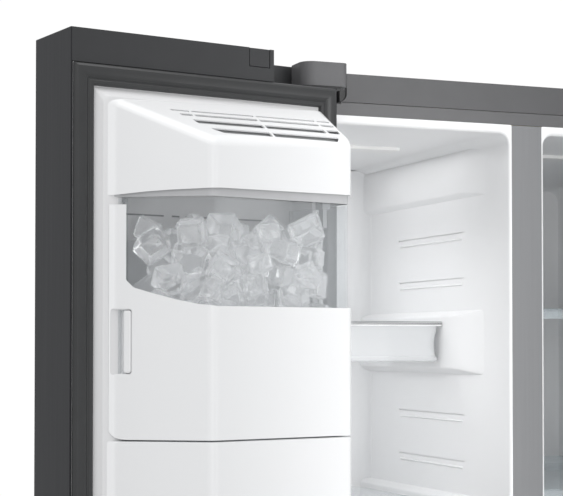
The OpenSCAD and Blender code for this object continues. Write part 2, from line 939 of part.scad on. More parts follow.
module dispenser_housing() {
    t = 2.5;
    color("dimgray") on_freezer_door() {
        difference() {
            box([niche_left, -door_t, niche_top - niche_h],
                [niche_left + niche_w, -door_t + niche_d, niche_top]);
            box([niche_left + t, -door_t - 1, niche_top - niche_h + t],
                [niche_left + niche_w - t, -door_t + niche_d - t, niche_top - t]);
            translate([chute_x, -door_t + 44, niche_top - t - 1]) cylinder(r = chute_r, h = t + 2);
        }
        // Drip tray at the foot of the recess
        tray([niche_left + 8, -door_t + 2, niche_top - niche_h + t],
            [niche_left + niche_w - 8, -door_t + niche_d - 10, niche_top - niche_h + t + 14], 2);
        // Nozzle block round the end of the chute
        difference() {
            box([chute_x - 42, -door_t + 12, niche_top - t - 30], [chute_x + 42, -door_t + niche_d - t, niche_top - t]);
            translate([chute_x, -door_t + 44, niche_top - t - 31]) cylinder(r = chute_r, h = 32);
            box([chute_x - 34, -door_t + 11, niche_top - t - 31], [chute_x + 34, -door_t + niche_d, niche_top - t - 22]);
        }
    }
}

module control_panel() {
    color("black") on_freezer_door()
        box([niche_left + 0.5, -door_t, niche_top + 12.5], [niche_left + niche_w - 0.5, -door_t + 13, niche_top + 91.5]);
}

module dispenser_paddle() {
    color("gray") on_freezer_door() translate([chute_x, -door_t + 46, niche_top - 68]) {
        translate([-36, 0, 0]) x_cylinder(4, 72);
        box([-34, -3, -130], [34, 3, 0]);
        box([-34, -12, -130], [34, -3, -124]);
    }
}

module chute_flap() {
    color("gray") on_freezer_door() translate([chute_x, -door_t + 14, niche_top - 28]) {
        translate([-33, 0, 0]) x_cylinder(2, 66);
        box([-32, 0, -1.5], [32, 56, 1.5]);
    }
}

// Clear ice bucket: the wide part stands out of the liner, the narrow part fits its pocket
module bucket_form(inset, low, high) {
    gap = 0.4;
    difference() {
        ice_hollow(wall + gap + inset, low, high);
        box([0, -door_t, -door_h], [freezer_door_w, platform + gap, 0]);
    }
    box([pocket_left + 3 + inset, -pocket_deep + 4 + inset, low],
        [pocket_right - 3 - inset, platform + gap + 3, high]);
}

module ice_bucket() {
    t = 2.5;
    color("lightblue") on_freezer_door() difference() {
        bucket_form(0, bucket_bottom + 2, bucket_top);
        bucket_form(t, bucket_bottom + 2 + t, bucket_top + 1);
        // The back wall is low, so that the feeler can reach in
        box([pocket_left + 9, -door_t, -256], [pocket_right - 9, -pocket_deep + 20, 0]);
        translate([chute_x, -14, bucket_bottom - 1]) cylinder(r = 22, h = 10);
        translate([pocket_left, auger_w, auger_z]) x_cylinder(axle_r + bore_gap, 9);
    }
}

// Moulded front of the bucket, cut away above for the clear window, with a recessed pull
module bucket_front() {
    color("white") on_freezer_door() difference() {
        ice_solid(bucket_bottom + 2, -216);
        ice_hollow(wall, bucket_bottom + 1, -215);
        window_cut();
        box([ice_left + 14, platform + 9, -425], [ice_left + 27, platform + 60, -345]);
    }
}

module window_cut() {
    translate([0, platform + ice_depth + 20, 0]) rotate([90, 0, 0]) linear_extrude(ice_depth + 19)
        polygon([
            [67, -200], [67, -309], [73, -318], [89, -324], [113, -333], [133, -338.5],
            [153, window_bottom], [ice_right + 20, window_bottom], [ice_right + 20, -200]
        ]);
}

// Ice auger: a shaft with paddles that push ice to the outlet
module ice_auger() {
    paddles = 6;
    color("silver") on_freezer_door() translate([pocket_left + 3.5, auger_w, auger_z]) {
        x_cylinder(axle_r, 262);
        for (i = [0 : paddles - 1])
            translate([34 + i * 38, 0, 0]) rotate([i * 60, 0, 0]) rotate([0, 0, 28])
                box([-1.5, -6, -24], [1.5, 6, 24]);
    }
}

module freezer_bins() {
    color("whitesmoke") on_freezer_door()
        for (z = [-880, -1140, -1400])
            door_bin(freezer_door_w, z, 110);
}

// ---- Fridge door ----
module fridge_door_skin() {
    color("dimgray") on_fridge_door() door_skin(fridge_door_w);
}

module fridge_door_caps() {
    color("dimgray") on_fridge_door() door_caps(fridge_door_w);
}

module fridge_door_foam() {
    color("khaki") on_fridge_door() difference() {
        door_foam(fridge_door_w);
        grip_cut();
    }
}

module fridge_door_liner() {
    color("white") on_fridge_door() difference() {
        liner_sheet(fridge_door_w);
        liner_hollow(fridge_door_w);
    }
}

module fridge_gasket() {
    color("dimgray") on_fridge_door() gasket(fridge_door_w);
}

module fridge_handle() {
    color("black") on_fridge_door() handle_cup();
}

module fridge_bins() {
    color("lightcyan") on_fridge_door()
        for (z = [-330, -620, -910, -1200, -1490])
            door_bin(fridge_door_w, z, 120);
}

cabinet_shell();
back_panel();
base_pan();
cabinet_foam();
freezer_liner();
fridge_liner();
top_trim();
front_frame();
mullion_plate();
hinge_cover_left();
hinge_cover_right();
upper_hinge_left();
upper_hinge_right();
lower_hinges();
toe_grille();
foot_left();
foot_right();
roller_left();
roller_right();
compressor();
condenser();
condenser_fan();
drain_pan();
machine_cover();
evaporator();
evaporator_cover();
evaporator_fan();
light_lenses();
freezer_shelves();
freezer_drawer_1();
freezer_drawer_2();
fridge_shelves();
crisper_1();
crisper_2();
freezer_door_skin();
freezer_door_caps();
freezer_door_foam();
freezer_door_liner();
freezer_gasket();
freezer_handle();
ice_housing();
ice_maker();
ice_tray();
sensor_arm();
chute_cover();
dispenser_housing();
control_panel();
dispenser_paddle();
chute_flap();
ice_bucket();
bucket_front();
ice_auger();
freezer_bins();
fridge_door_skin();
fridge_door_caps();
fridge_door_foam();
fridge_door_liner();
fridge_gasket();
fridge_handle();
fridge_bins();
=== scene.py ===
"""Looks of the side by side refrigerator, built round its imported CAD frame.

Shapes are given in millimetres, either in the row frame or in a door's own frame (s, w, z): s runs from the
door's free edge to its hinge, w from its inner plane into the room, and z up from its top.
"""
import json
import math
import random

import bmesh
import bpy
from mathutils import Matrix, Vector


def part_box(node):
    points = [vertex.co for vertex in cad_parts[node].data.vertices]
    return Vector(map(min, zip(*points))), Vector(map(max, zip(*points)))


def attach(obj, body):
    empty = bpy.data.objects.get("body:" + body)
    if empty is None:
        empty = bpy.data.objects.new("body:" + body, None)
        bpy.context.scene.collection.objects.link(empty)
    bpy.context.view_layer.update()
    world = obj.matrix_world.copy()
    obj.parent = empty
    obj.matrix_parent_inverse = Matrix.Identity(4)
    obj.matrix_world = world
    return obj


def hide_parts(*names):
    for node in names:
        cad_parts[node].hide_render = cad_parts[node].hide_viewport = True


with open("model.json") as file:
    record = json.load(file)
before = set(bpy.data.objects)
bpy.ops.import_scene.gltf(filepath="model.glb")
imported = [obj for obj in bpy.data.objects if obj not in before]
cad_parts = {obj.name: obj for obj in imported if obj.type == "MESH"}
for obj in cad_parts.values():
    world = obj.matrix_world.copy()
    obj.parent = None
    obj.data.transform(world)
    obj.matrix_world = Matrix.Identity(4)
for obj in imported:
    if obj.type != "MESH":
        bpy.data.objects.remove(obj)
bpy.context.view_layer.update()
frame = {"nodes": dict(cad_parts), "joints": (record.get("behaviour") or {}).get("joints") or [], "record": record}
NODES = frame["nodes"]
JOINTS = {joint["name"]: joint for joint in frame["joints"]}
MM = 0.001

# ---- Places, in millimetres ----
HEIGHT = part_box("cabinet_shell")[1].z / MM
HALF_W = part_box("cabinet_shell")[1].x / MM
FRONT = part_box("front_frame")[0].y / MM
MULLION = [corner.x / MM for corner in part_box("mullion_plate")]
SEAL = 10
DOOR_GAP = 6
MULLION_MIDDLE = sum(MULLION) / 2
FREEZER_W = HALF_W + MULLION_MIDDLE - DOOR_GAP / 2
FRIDGE_W = HALF_W - MULLION_MIDDLE - DOOR_GAP / 2
DOOR_T = 106
DOOR_H = 1688
CAP_H = 42
PLATFORM = 8
LINER_WALL = 2.5
ROOM = Matrix.Scale(MM, 4)  # from millimetres in the row frame to metres


def door_space(joint_name, free_x, side):
    """Matrix from a door's own frame, in millimetres, to the row frame with the door standing open."""
    joint = JOINTS[joint_name]
    pin = Vector(joint["pos_m"][:2]).to_3d()
    turn = Matrix.Rotation(math.radians(-joint["range_deg"][0]) * side, 4, "Z")
    closed = Matrix(((side * MM, 0, 0, free_x * MM), (0, MM, 0, (FRONT - SEAL) * MM),
                     (0, 0, MM, HEIGHT * MM), (0, 0, 0, 1)))
    return Matrix.Translation(pin) @ turn @ Matrix.Translation(-pin) @ closed


FREEZER_DOOR = door_space("freezer_door_hinge", MULLION_MIDDLE - DOOR_GAP / 2, -1)
FRIDGE_DOOR = door_space("fridge_door_hinge", MULLION_MIDDLE + DOOR_GAP / 2, 1)
SPACES = {"cabinet": ROOM, "freezer_door": FREEZER_DOOR, "ice_bin": FREEZER_DOOR, "tray": FREEZER_DOOR,
          "fridge_door": FRIDGE_DOOR}


# ---- Camera, light and stage ----
WORLD_GLOW = 0.70
BACKDROP_GLOW = 1.02


def add_object(name, data):
    """A new object in the scene."""
    made = bpy.data.objects.new(name, data)
    bpy.context.scene.collection.objects.link(made)
    return made


def aim(made, direction):
    made.rotation_mode = "QUATERNION"
    made.rotation_quaternion = direction.to_track_quat("-Z", "Y")


def make_camera():
    """A long lens at eye height, a little left of the open freezer door."""
    data = bpy.data.cameras.new("camera")
    camera = add_object("camera", data)
    camera.location = (-1.259, -2.418, 1.3904)
    yaw, pitch = math.radians(21.37), math.radians(1.5)
    aim(camera, Vector((math.sin(yaw) * math.cos(pitch), math.cos(yaw) * math.cos(pitch), math.sin(pitch))))
    data.lens = 100.58
    data.shift_y = 0.1007
    data.clip_end = 50
    bpy.context.scene.camera = camera


def area_light(name, place, target, size, watts, colour=(1, 1, 1), spread=180):
    """A rectangular lamp, in metres and degrees, that the camera doesn't see."""
    data = bpy.data.lights.new(name, "AREA")
    data.spread = math.radians(spread)
    data.shape = "RECTANGLE"
    data.size, data.size_y = size
    data.energy = watts
    data.color = colour
    lamp = add_object(name, data)
    lamp.location = place
    lamp.visible_camera = False
    aim(lamp, Vector(target) - Vector(place))


def make_world():
    """Soft grey light from all round, in front of a white backdrop."""
    world = bpy.data.worlds.new("studio")
    bpy.context.scene.world = world
    world.use_nodes = True
    tree = world.node_tree
    glow = tree.nodes["Background"]
    glow.inputs["Color"].default_value = (0.985, 0.99, 1.0, 1)
    glow.inputs["Strength"].default_value = WORLD_GLOW
    white = tree.nodes.new("ShaderNodeBackground")
    white.inputs["Color"].default_value = (1, 1, 1, 1)
    white.inputs["Strength"].default_value = BACKDROP_GLOW
    rays = tree.nodes.new("ShaderNodeLightPath")
    mix = tree.nodes.new("ShaderNodeMixShader")
    tree.links.new(rays.outputs["Is Camera Ray"], mix.inputs["Fac"])
    tree.links.new(glow.outputs["Background"], mix.inputs[1])
    tree.links.new(white.outputs["Background"], mix.inputs[2])
    tree.links.new(mix.outputs["Shader"], tree.nodes["World Output"].inputs["Surface"])


def make_lamps():
    """Four studio lamps, and three small ones for the light inside the freezer compartment."""
    area_light("key", (-2.2, -3.2, 3.3), (-0.5, -0.4, 1.5), (2.2, 1.6), 10, (1.0, 0.99, 0.98))
    area_light("strip", (-0.62, -4.4, 1.45), (-0.6, -0.6, 1.45), (0.45, 2.2), 12)
    area_light("top", (-0.7, -1.1, 3.9), (-0.5, -0.4, 1.7), (2.4, 1.8), 30)
    area_light("front", (-0.12, -1.25, 1.3), (-0.27, 0.1, 1.42), (0.4, 1.2), 1.3, spread=62)
    area_light("ceiling", (-0.25, -0.10, 1.697), (-0.25, -0.10, 1.0), (0.24, 0.30), 0.27)
    area_light("room_high", (-0.396, -0.15, 1.62), (-0.1, -0.16, 1.06), (0.42, 0.12), 0.52, spread=110)
    area_light("room_low", (-0.396, -0.16, 0.95), (-0.1, -0.17, 0.93), (0.42, 0.9), 0.55)


def make_floor():
    side = 9
    corners = [(-side, -side, 0), (side, -side, 0), (side, side, 0), (-side, side, 0)]
    mesh = bpy.data.meshes.new("floor")
    mesh.from_pydata(corners, [], [(0, 1, 2, 3)])
    mesh.materials.append(Finish("floor_paint", (0.9, 0.9, 0.9), 0.7).mottle(2, 0.01).done())
    add_object("floor", mesh)


# ---- Materials ----
class Finish:
    """A Principled material that gains procedural detail step by step."""

    def __init__(self, name, colour, roughness, metallic=0.0, **sockets):
        self.name = name
        self.material = bpy.data.materials.new(name)
        self.material.use_nodes = True
        self.tree = self.material.node_tree
        self.shader = self.tree.nodes["Principled BSDF"]
        self.colour = colour
        self.shader.inputs["Base Color"].default_value = (*colour, 1)
        self.shader.inputs["Roughness"].default_value = roughness
        self.shader.inputs["Metallic"].default_value = metallic
        for socket, value in sockets.items():
            self.shader.inputs[socket.replace("_", " ")].default_value = value
        self.roughness = roughness
        self.bumps = None

    def node(self, kind, **values):
        made = self.tree.nodes.new(kind)
        for name, value in values.items():
            if name in made.inputs:
                made.inputs[name].default_value = value
            else:
                setattr(made, name, value)
        return made

    def link(self, source, target):
        self.tree.links.new(source, target)

    def place(self, stretch=(1, 1, 1)):
        """Object coordinates, so that a pattern stays on its piece."""
        where = self.node("ShaderNodeTexCoord")
        mapping = self.node("ShaderNodeMapping")
        mapping.inputs["Scale"].default_value = stretch
        self.link(where.outputs["Object"], mapping.inputs["Vector"])
        return mapping.outputs["Vector"]

    def noise(self, scale, detail=2.0, stretch=(1, 1, 1)):
        made = self.node("ShaderNodeTexNoise", Scale=scale, Detail=detail)
        self.link(self.place(stretch), made.inputs["Vector"])
        return made.outputs["Fac"]

    def spread(self, source, low, high):
        made = self.node("ShaderNodeMapRange")
        made.inputs["To Min"].default_value = low
        made.inputs["To Max"].default_value = high
        self.link(source, made.inputs["Value"])
        return made.outputs["Result"]

    def mottle(self, scale, amount, stretch=(1, 1, 1)):
        """Slight lightness variation of the base colour."""
        ramp = self.node("ShaderNodeValToRGB")
        ramp.color_ramp.elements[0].color = (*[c * (1 - amount) for c in self.colour], 1)
        ramp.color_ramp.elements[1].color = (*[min(1, c * (1 + amount)) for c in self.colour], 1)
        ramp.color_ramp.elements[0].position = 0.3
        ramp.color_ramp.elements[1].position = 0.7
        self.link(self.noise(scale, 3.0, stretch), ramp.inputs["Fac"])
        self.link(ramp.outputs["Color"], self.shader.inputs["Base Color"])
        return self

    def uneven_gloss(self, scale, amount, stretch=(1, 1, 1)):
        low, high = max(0.02, self.roughness - amount), self.roughness + amount
        self.link(self.spread(self.noise(scale, 4.0, stretch), low, high), self.shader.inputs["Roughness"])
        return self

    def grain(self, scale, depth_mm, stretch=(1, 1, 1), detail=2.0):
        """Bump of a given depth; several grains add up."""
        bump = self.node("ShaderNodeBump", Strength=1.0, Distance=depth_mm * MM)
        self.link(self.noise(scale, detail, stretch), bump.inputs["Height"])
        if self.bumps:
            self.link(self.bumps, bump.inputs["Normal"])
        self.bumps = bump.outputs["Normal"]
        return self

    def see_through(self, least, most):
        """Clear plastic: mostly transparent, more of a mirror at a glancing angle."""
        clear = self.node("ShaderNodeBsdfTransparent")
        clear.inputs["Color"].default_value = (0.995, 0.998, 1.0, 1)
        rim = self.node("ShaderNodeLayerWeight", Blend=0.35)
        share = self.spread(rim.outputs["Facing"], least, most)
        mix = self.node("ShaderNodeMixShader")
        self.link(share, mix.inputs["Fac"])
        self.link(clear.outputs["BSDF"], mix.inputs[1])
        self.link(self.shader.outputs["BSDF"], mix.inputs[2])
        self.link(mix.outputs["Shader"], self.tree.nodes["Material Output"].inputs["Surface"])
        return self

    def done(self):
        if self.bumps:
            self.link(self.bumps, self.shader.inputs["Normal"])
        return self.material


BRUSHED = (1, 1, 0.02)
BRUSHED_ACROSS = (0.02, 1, 1)


def satin(name, colour, roughness):
    """Satin paint, or moulded trim that matches it."""
    return Finish(name, colour, roughness).mottle(40, 0.03).grain(1400, 0.012).uneven_gloss(30, 0.05)


def fine_grained(name, colour, roughness):
    """Moulded plastic with a fine grain."""
    return Finish(name, colour, roughness).mottle(40, 0.03).grain(900, 0.01)


def formed_sheet(name, colour, roughness):
    """Formed plastic sheet, fairly glossy, with slow waves in it."""
    sheet = Finish(name, colour, roughness).mottle(2.5, 0.008).uneven_gloss(10, 0.02)
    return sheet.grain(350, 0.006).grain(18, 0.04)


def clear_sheet(name, colour, roughness, least, most):
    """Clear plastic that hides between the least and the most share of what is behind it."""
    plastic = Finish(name, colour, roughness, IOR=1.5).uneven_gloss(30, 0.03).grain(12, 0.05)
    return plastic.see_through(least, most)


def make_materials():
    finishes = [
        Finish("graphite_steel", (0.018, 0.019, 0.022), 0.46, 0.2, Specular_IOR_Level=0.35).mottle(1.2, 0.06)
        .uneven_gloss(260, 0.05, BRUSHED).grain(900, 0.006, BRUSHED).grain(6, 0.05),
        satin("frame_steel", (0.110, 0.110, 0.113), 0.45),
        satin("trim_plastic", (0.088, 0.088, 0.091), 0.5),
        Finish("mullion_steel", (0.205, 0.208, 0.214), 0.45, 0.2).mottle(300, 0.02, BRUSHED)
        .grain(900, 0.005, BRUSHED),
        Finish("cover_plastic", (0.108, 0.108, 0.112), 0.5).mottle(60, 0.03).grain(1600, 0.02),
        Finish("cap_plastic", (0.030, 0.031, 0.033), 0.5).mottle(30, 0.05).grain(1600, 0.02)
        .uneven_gloss(25, 0.06),
        Finish("galvanised", (0.42, 0.43, 0.44), 0.42, 0.7).mottle(60, 0.05).uneven_gloss(60, 0.08)
        .grain(400, 0.01),
        Finish("hinge_steel", (0.016, 0.016, 0.017), 0.42, 0.3).mottle(80, 0.1).grain(900, 0.015),
        Finish("white_plastic", (0.82, 0.825, 0.83), 0.27).mottle(3, 0.003).uneven_gloss(6, 0.003)
        .grain(500, 0.002),
        formed_sheet("liner_plastic", (0.80, 0.803, 0.808), 0.36),
        clear_sheet("clear_plastic", (0.78, 0.81, 0.83), 0.08, 0.05, 0.6),
        clear_sheet("clear_blue", (0.74, 0.82, 0.86), 0.08, 0.16, 0.8),
        clear_sheet("milky_plastic", (0.74, 0.75, 0.76), 0.2, 0.42, 0.85),
        # Dark grey: for real joints, and for the painted shade lines on the shelf trims.
        fine_grained("line_plastic", (0.16, 0.165, 0.17), 0.4),
        Finish("gasket_rubber", (0.031, 0.032, 0.033), 0.36).mottle(35, 0.06).grain(1200, 0.02)
        .uneven_gloss(20, 0.06),
        Finish("foam", (0.78, 0.68, 0.42), 0.9).mottle(60, 0.12).grain(300, 0.4),
        Finish("black_plastic", (0.02, 0.02, 0.021), 0.45).mottle(40, 0.08).grain(1500, 0.02),
        Finish("grey_plastic", (0.36, 0.37, 0.38), 0.45).mottle(40, 0.03).grain(1500, 0.015),
        Finish("black_glass", (0.006, 0.006, 0.008), 0.06, Coat_Weight=0.6).mottle(3, 0.1)
        .uneven_gloss(8, 0.02),
        Finish("lens", (0.80, 0.80, 0.79), 0.3).mottle(20, 0.02).grain(350, 0.15, detail=0.0),
        Finish("aluminium_fin", (0.7, 0.71, 0.72), 0.35, 1.0).mottle(60, 0.05).uneven_gloss(90, 0.08),
        Finish("black_enamel", (0.012, 0.012, 0.012), 0.28).mottle(10, 0.1).grain(120, 0.03),
        Finish("stainless", (0.58, 0.58, 0.59), 0.3, 1.0).mottle(200, 0.04, BRUSHED_ACROSS)
        .grain(700, 0.006, BRUSHED_ACROSS),
        # A darker copy of the liner's white for the door liners: the lower lightness is painted shade.
        formed_sheet("door_liner_plastic", (0.735, 0.735, 0.74), 0.38),
        # A slightly darker copy of the liner's white for the rear panel: the difference is painted shade at the
        # back of the compartment.
        formed_sheet("panel_plastic", (0.76, 0.763, 0.77), 0.4),
        # Grey of the plate inside the hood: painted shade seen through the slots.
        fine_grained("vent_plastic", (0.42, 0.425, 0.43), 0.5),
        # Grey of the rim under the hood: painted shade for the gap there.
        fine_grained("rim_plastic", (0.51, 0.515, 0.525), 0.4),
        fine_grained("maker_plastic", (0.88, 0.88, 0.88), 0.45),
        # Ice with a faint emission: the glow is painted light that brightens the lumps.
        Finish("ice", (1.0, 1.0, 1.0), 0.04, Transmission_Weight=0.9, IOR=1.31, Emission_Strength=0.05,
               Emission_Color=(0.95, 0.97, 1.0, 1)).mottle(25, 0.06).grain(60, 0.3).grain(14, 1.6),
        Finish("roller_nylon", (0.025, 0.025, 0.026), 0.5).mottle(40, 0.1).grain(900, 0.03),
    ]
    return {finish.name: finish.done() for finish in finishes}


# ---- Mesh tools, in millimetres ----
DOUBLES_MM = 0.001
WELD_MM = 0.02


def rounded(corners, steps=5):
    """Closed outline through (x, y, radius) corners; each rounded corner gives steps + 1 points."""
    outline = []
    count = len(corners)
    for index, (x, y, radius) in enumerate(corners):
        here = Vector((x, y))
        if radius <= 0:
            outline.append(here)
            continue
        back = Vector(corners[index - 1][:2]) - here
        ahead = Vector(corners[(index + 1) % count][:2]) - here
        half = back.angle(ahead) / 2
        reach = min(radius / math.tan(half), 0.48 * back.length, 0.48 * ahead.length)
        middle = here + (back.normalized() + ahead.normalized()).normalized() * (reach / math.cos(half))
        first = here + back.normalized() * reach - middle
        last = here + ahead.normalized() * reach - middle
        swing = math.atan2(first.x * last.y - first.y * last.x, first.dot(last))
        for step in range(steps + 1):
            turn = Matrix.Rotation(swing * step / steps, 2)
            outline.append(middle + turn @ first)
    return outline


def inset(corners, distance):
    """Corners moved inward by a distance. Corners run anticlockwise."""
    count = len(corners)
    straight = 1e-6
    moved = []
    for index, (x, y, radius) in enumerate(corners):
        here = Vector((x, y))
        back = (here - Vector(corners[index - 1][:2])).normalized()
        ahead = (Vector(corners[(index + 1) % count][:2]) - here).normalized()
        back_in, ahead_in = Vector((-back.y, back.x)), Vector((-ahead.y, ahead.x))
        there = here + back_in * distance
        cross = back.x * ahead.y - back.y * ahead.x
        if abs(cross) > straight:
            gap = ahead_in * distance - back_in * distance
            there = there + back * ((gap.x * ahead.y - gap.y * ahead.x) / cross)
        smaller = radius - distance if cross > 0 else radius + distance
        moved.append((there.x, there.y, max(0.4, smaller) if radius > 0 else 0))
    return moved


def rectangle(x0, y0, x1, y1, radius, grow=0):
    """Corners of a rectangle whose sides are moved outward by grow."""
    x0, y0, x1, y1 = x0 - grow, y0 - grow, x1 + grow, y1 + grow
    return [(x0, y0, radius), (x1, y0, radius), (x1, y1, radius), (x0, y1, radius)]


def circle(x, y, radius, count):
    turns = [math.tau * step / count for step in range(count)]
    return [(x + radius * math.cos(turn), y + radius * math.sin(turn)) for turn in turns]


def quarter(steps):
    """Angles from 0 to 90 degrees."""
    return [math.radians(90 * step / steps) for step in range(steps + 1)]


def on_z(outline, z):
    """A level ring; z may be a function of the place."""
    return [(p[0], p[1], z(p[0], p[1]) if callable(z) else z) for p in outline]


def on_w(outline, w):
    """A ring in a plane parallel to a door or to the cabinet front."""
    return [(p[0], w, p[1]) for p in outline]


def on_x(outline, x):
    return [(x, p[0], p[1]) for p in outline]


class Shell:
    """Faces in millimetres, gathered ring by ring."""

    def __init__(self):
        self.points = []
        self.faces = []

    def loft(self, rings, first_cap=False, last_cap=False, closed=True):
        starts = []
        for ring in rings:
            starts.append(len(self.points))
            self.points += [tuple(point) for point in ring]
        size = len(rings[0])
        for low, high in zip(starts, starts[1:]):
            for i in range(size if closed else size - 1):
                j = (i + 1) % size
                self.faces.append((low + i, low + j, high + j, high + i))
        if first_cap:
            self.faces.append(tuple(range(starts[0], starts[0] + size)))
        if last_cap:
            self.faces.append(tuple(range(starts[-1], starts[-1] + size)))
        return self

    def solid(self, rings):
        return self.loft(rings, True, True)

    def prism(self, outline, start, stop, place=on_w):
        """A solid between two places of one outline."""
        return self.solid([place(outline, start), place(outline, stop)])

    def box(self, low, high, radius=0.0, axis="z"):
        """A block, its four edges along an axis rounded."""
        along = "xwz".index(axis)
        across, up = [number for number in range(3) if number != along]
        outline = rounded(rectangle(low[across], low[up], high[across], high[up], radius))
        return self.prism(outline, low[along], high[along], (on_x, on_w, on_z)[along])

    def mesh(self, name, space):
        made = bpy.data.meshes.new(name)
        made.from_pydata(self.points, [], self.faces)
        made.transform(space)
        cleaner = bmesh.new()
        cleaner.from_mesh(made)
        bmesh.ops.remove_doubles(cleaner, verts=cleaner.verts, dist=DOUBLES_MM * MM)
        bmesh.ops.recalc_face_normals(cleaner, faces=cleaner.faces)
        cleaner.to_mesh(made)
        cleaner.free()
        return made


def settle(made):
    """Turns a piece's modifiers into its mesh."""
    graph = bpy.context.evaluated_depsgraph_get()
    mesh = bpy.data.meshes.new_from_object(made.evaluated_get(graph), depsgraph=graph)
    made.modifiers.clear()
    made.data = mesh


def thicken(made, wall, outward=False, even=True):
    """Gives a sheet its wall, on the side that its faces look away from unless outward is set."""
    solid = made.modifiers.new("solid", "SOLIDIFY")
    solid.thickness = wall * MM
    solid.offset = 1 if outward else -1
    solid.use_even_offset = even
    settle(made)


def cut(made, shape, space=FREEZER_DOOR, keep_inside=False):
    """Boolean with a throw-away solid."""
    tool = add_object("tool", shape.mesh("tool", space))
    boolean = made.modifiers.new("cut", "BOOLEAN")
    boolean.operation = "INTERSECT" if keep_inside else "DIFFERENCE"
    boolean.solver = "MANIFOLD"
    boolean.object = tool
    settle(made)
    bpy.data.objects.remove(tool)


def soften(made, width, angle=35, segments=2):
    """Rounded edges and even shading."""
    weld = made.modifiers.new("weld", "WELD")
    weld.merge_threshold = WELD_MM * MM
    bevel = made.modifiers.new("bevel", "BEVEL")
    bevel.width = width * MM
    bevel.segments = segments
    bevel.limit_method = "ANGLE"
    bevel.angle_limit = math.radians(angle)
    even_shading(made)


def even_shading(made):
    normals = made.modifiers.new("normals", "WEIGHTED_NORMAL")
    normals.keep_sharp = False
    made.data.shade_smooth()


def piece(name, shell, body, finish, stands_for=(), space=None):
    """An object with its mesh, finish and body, and the CAD nodes that it stands for."""
    made = add_object(name, shell.mesh(name, SPACES[body] if space is None else space))
    made.data.materials.append(MATERIALS[finish])
    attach(made, body)
    if stands_for:
        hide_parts(*stands_for)
    return made


# ---- Shapes shared by the ice housing, the bucket and the chute cover ----
ICE_LEFT, ICE_TURN, ICE_RIGHT = 46, 147, 361
ICE_FRONT = PLATFORM + 84
TIP_RISE = 2.5
TIP_S, TIP_W = ICE_LEFT + 10, PLATFORM + TIP_RISE
SLANT = (ICE_TURN - TIP_S) / (ICE_FRONT - TIP_W)
SLANT_LENGTH = math.hypot(1, SLANT)
TIP_FADE, TIP_FLAT = 14, 9.5
TURN_RADIUS = 22
FRONT_FALL = 8
SIDE_DRAFT = 0.7
BUCKET_TOP, BUCKET_BOTTOM = -208, -504.4


def clamp(value, least=0):
    """The value, but at least this much and at most one."""
    return min(1, max(least, value))


def ice_plan(distance=0.0):
    """Plan of the ice housing, moved in by a distance everywhere but at its back, which stays on the liner.

    Corners: tip, hinge side at the liner, hinge side at the front, turn, and foot of the slanted face.
    """
    tip = max(0.0, 1 - distance / TIP_FADE)
    foot_w = PLATFORM + TIP_RISE * tip
    foot_s = TIP_S + SLANT * (foot_w - TIP_W) + distance * SLANT_LENGTH
    front = ICE_FRONT - distance
    turn_s = ICE_TURN + distance * (SLANT_LENGTH - SLANT)
    side_s = ICE_RIGHT - SIDE_DRAFT * distance
    return [(foot_s - TIP_FLAT * tip - 0.2, PLATFORM, 0), (side_s, PLATFORM, 0),
            (side_s, front - FRONT_FALL, max(2, 10 - SIDE_DRAFT * distance)),
            (turn_s, front, max(4, TURN_RADIUS - distance)), (foot_s, foot_w, 12 * tip + 0.2)]


# ---- Ice housing ----
HOOD_PEAK = (359, 4, -74)
HOOD_FALL, HOOD_SIDE_FALL, HOOD_TIP_FALL = 0.64, 0.033, 7
HOOD_ROUND = 10.0
HOOD_FOOT = -206
HOOD_EDGE = [(400, -194.6), (349, -195.2), (160, -196.5), (146, -197.2), (107, -198.8), (85, -200.5),
             (44, -205.4), (0, HOOD_FOOT)]
HOOD_INSIDE_S = 357
SLOT_ROWS = [
    {"z": (-94.2, -96.6), "left": (121, 124), "right": (354, 354)},
    {"z": (-100.6, -103.8), "left": (130, 133), "right": (354, 354)},
    {"z": (-109.2, -115.0), "left": (141.5, 147), "right": (353.5, 351)},
    {"z": (-120.8, -127.4), "left": (155, 172), "right": (343, 337.5)},
]
SLOT_RIBS = [150, 242, 333]
RIB_HALF = 1.6
SLOPE_NORMAL = Vector((0, 0.54, 0.842))  # square to the hood's fall


def hood_top(s, w):
    """Height of the hood's sloping top: it falls into the room, and a little towards the free edge."""
    peak_s, peak_w, peak_z = HOOD_PEAK
    side = HOOD_SIDE_FALL * (peak_s - s) * clamp(w / 40)
    return peak_z - HOOD_FALL * (w - peak_w) - side - HOOD_TIP_FALL * clamp((130 - s) / 70)


def hood_sink(s, w):
    """Share of the edge rounding: most of it at the tip, little along the liner, all of it at the front."""
    return 0.75 if s < 120 else clamp((w - PLATFORM + 2) / 14, 0.15)


def hood_surface(s, w):
    """Height of the hood with its rounded front edge."""
    front = ICE_FRONT - FRONT_FALL * max(0, s - ICE_TURN) / (ICE_RIGHT - ICE_TURN)
    short = max(0.0, HOOD_ROUND - max(0.0, front - w))
    return hood_top(s, w) - (HOOD_ROUND - math.sqrt(max(0.0, HOOD_ROUND ** 2 - short ** 2)))


def hood_depth(s, z):
    """How far into the room the hood's top has height z."""
    near, far = PLATFORM, ICE_FRONT
    for _ in range(30):
        middle = (near + far) / 2
        if hood_surface(s, middle) > z:
            near = middle
        else:
            far = middle
    return near


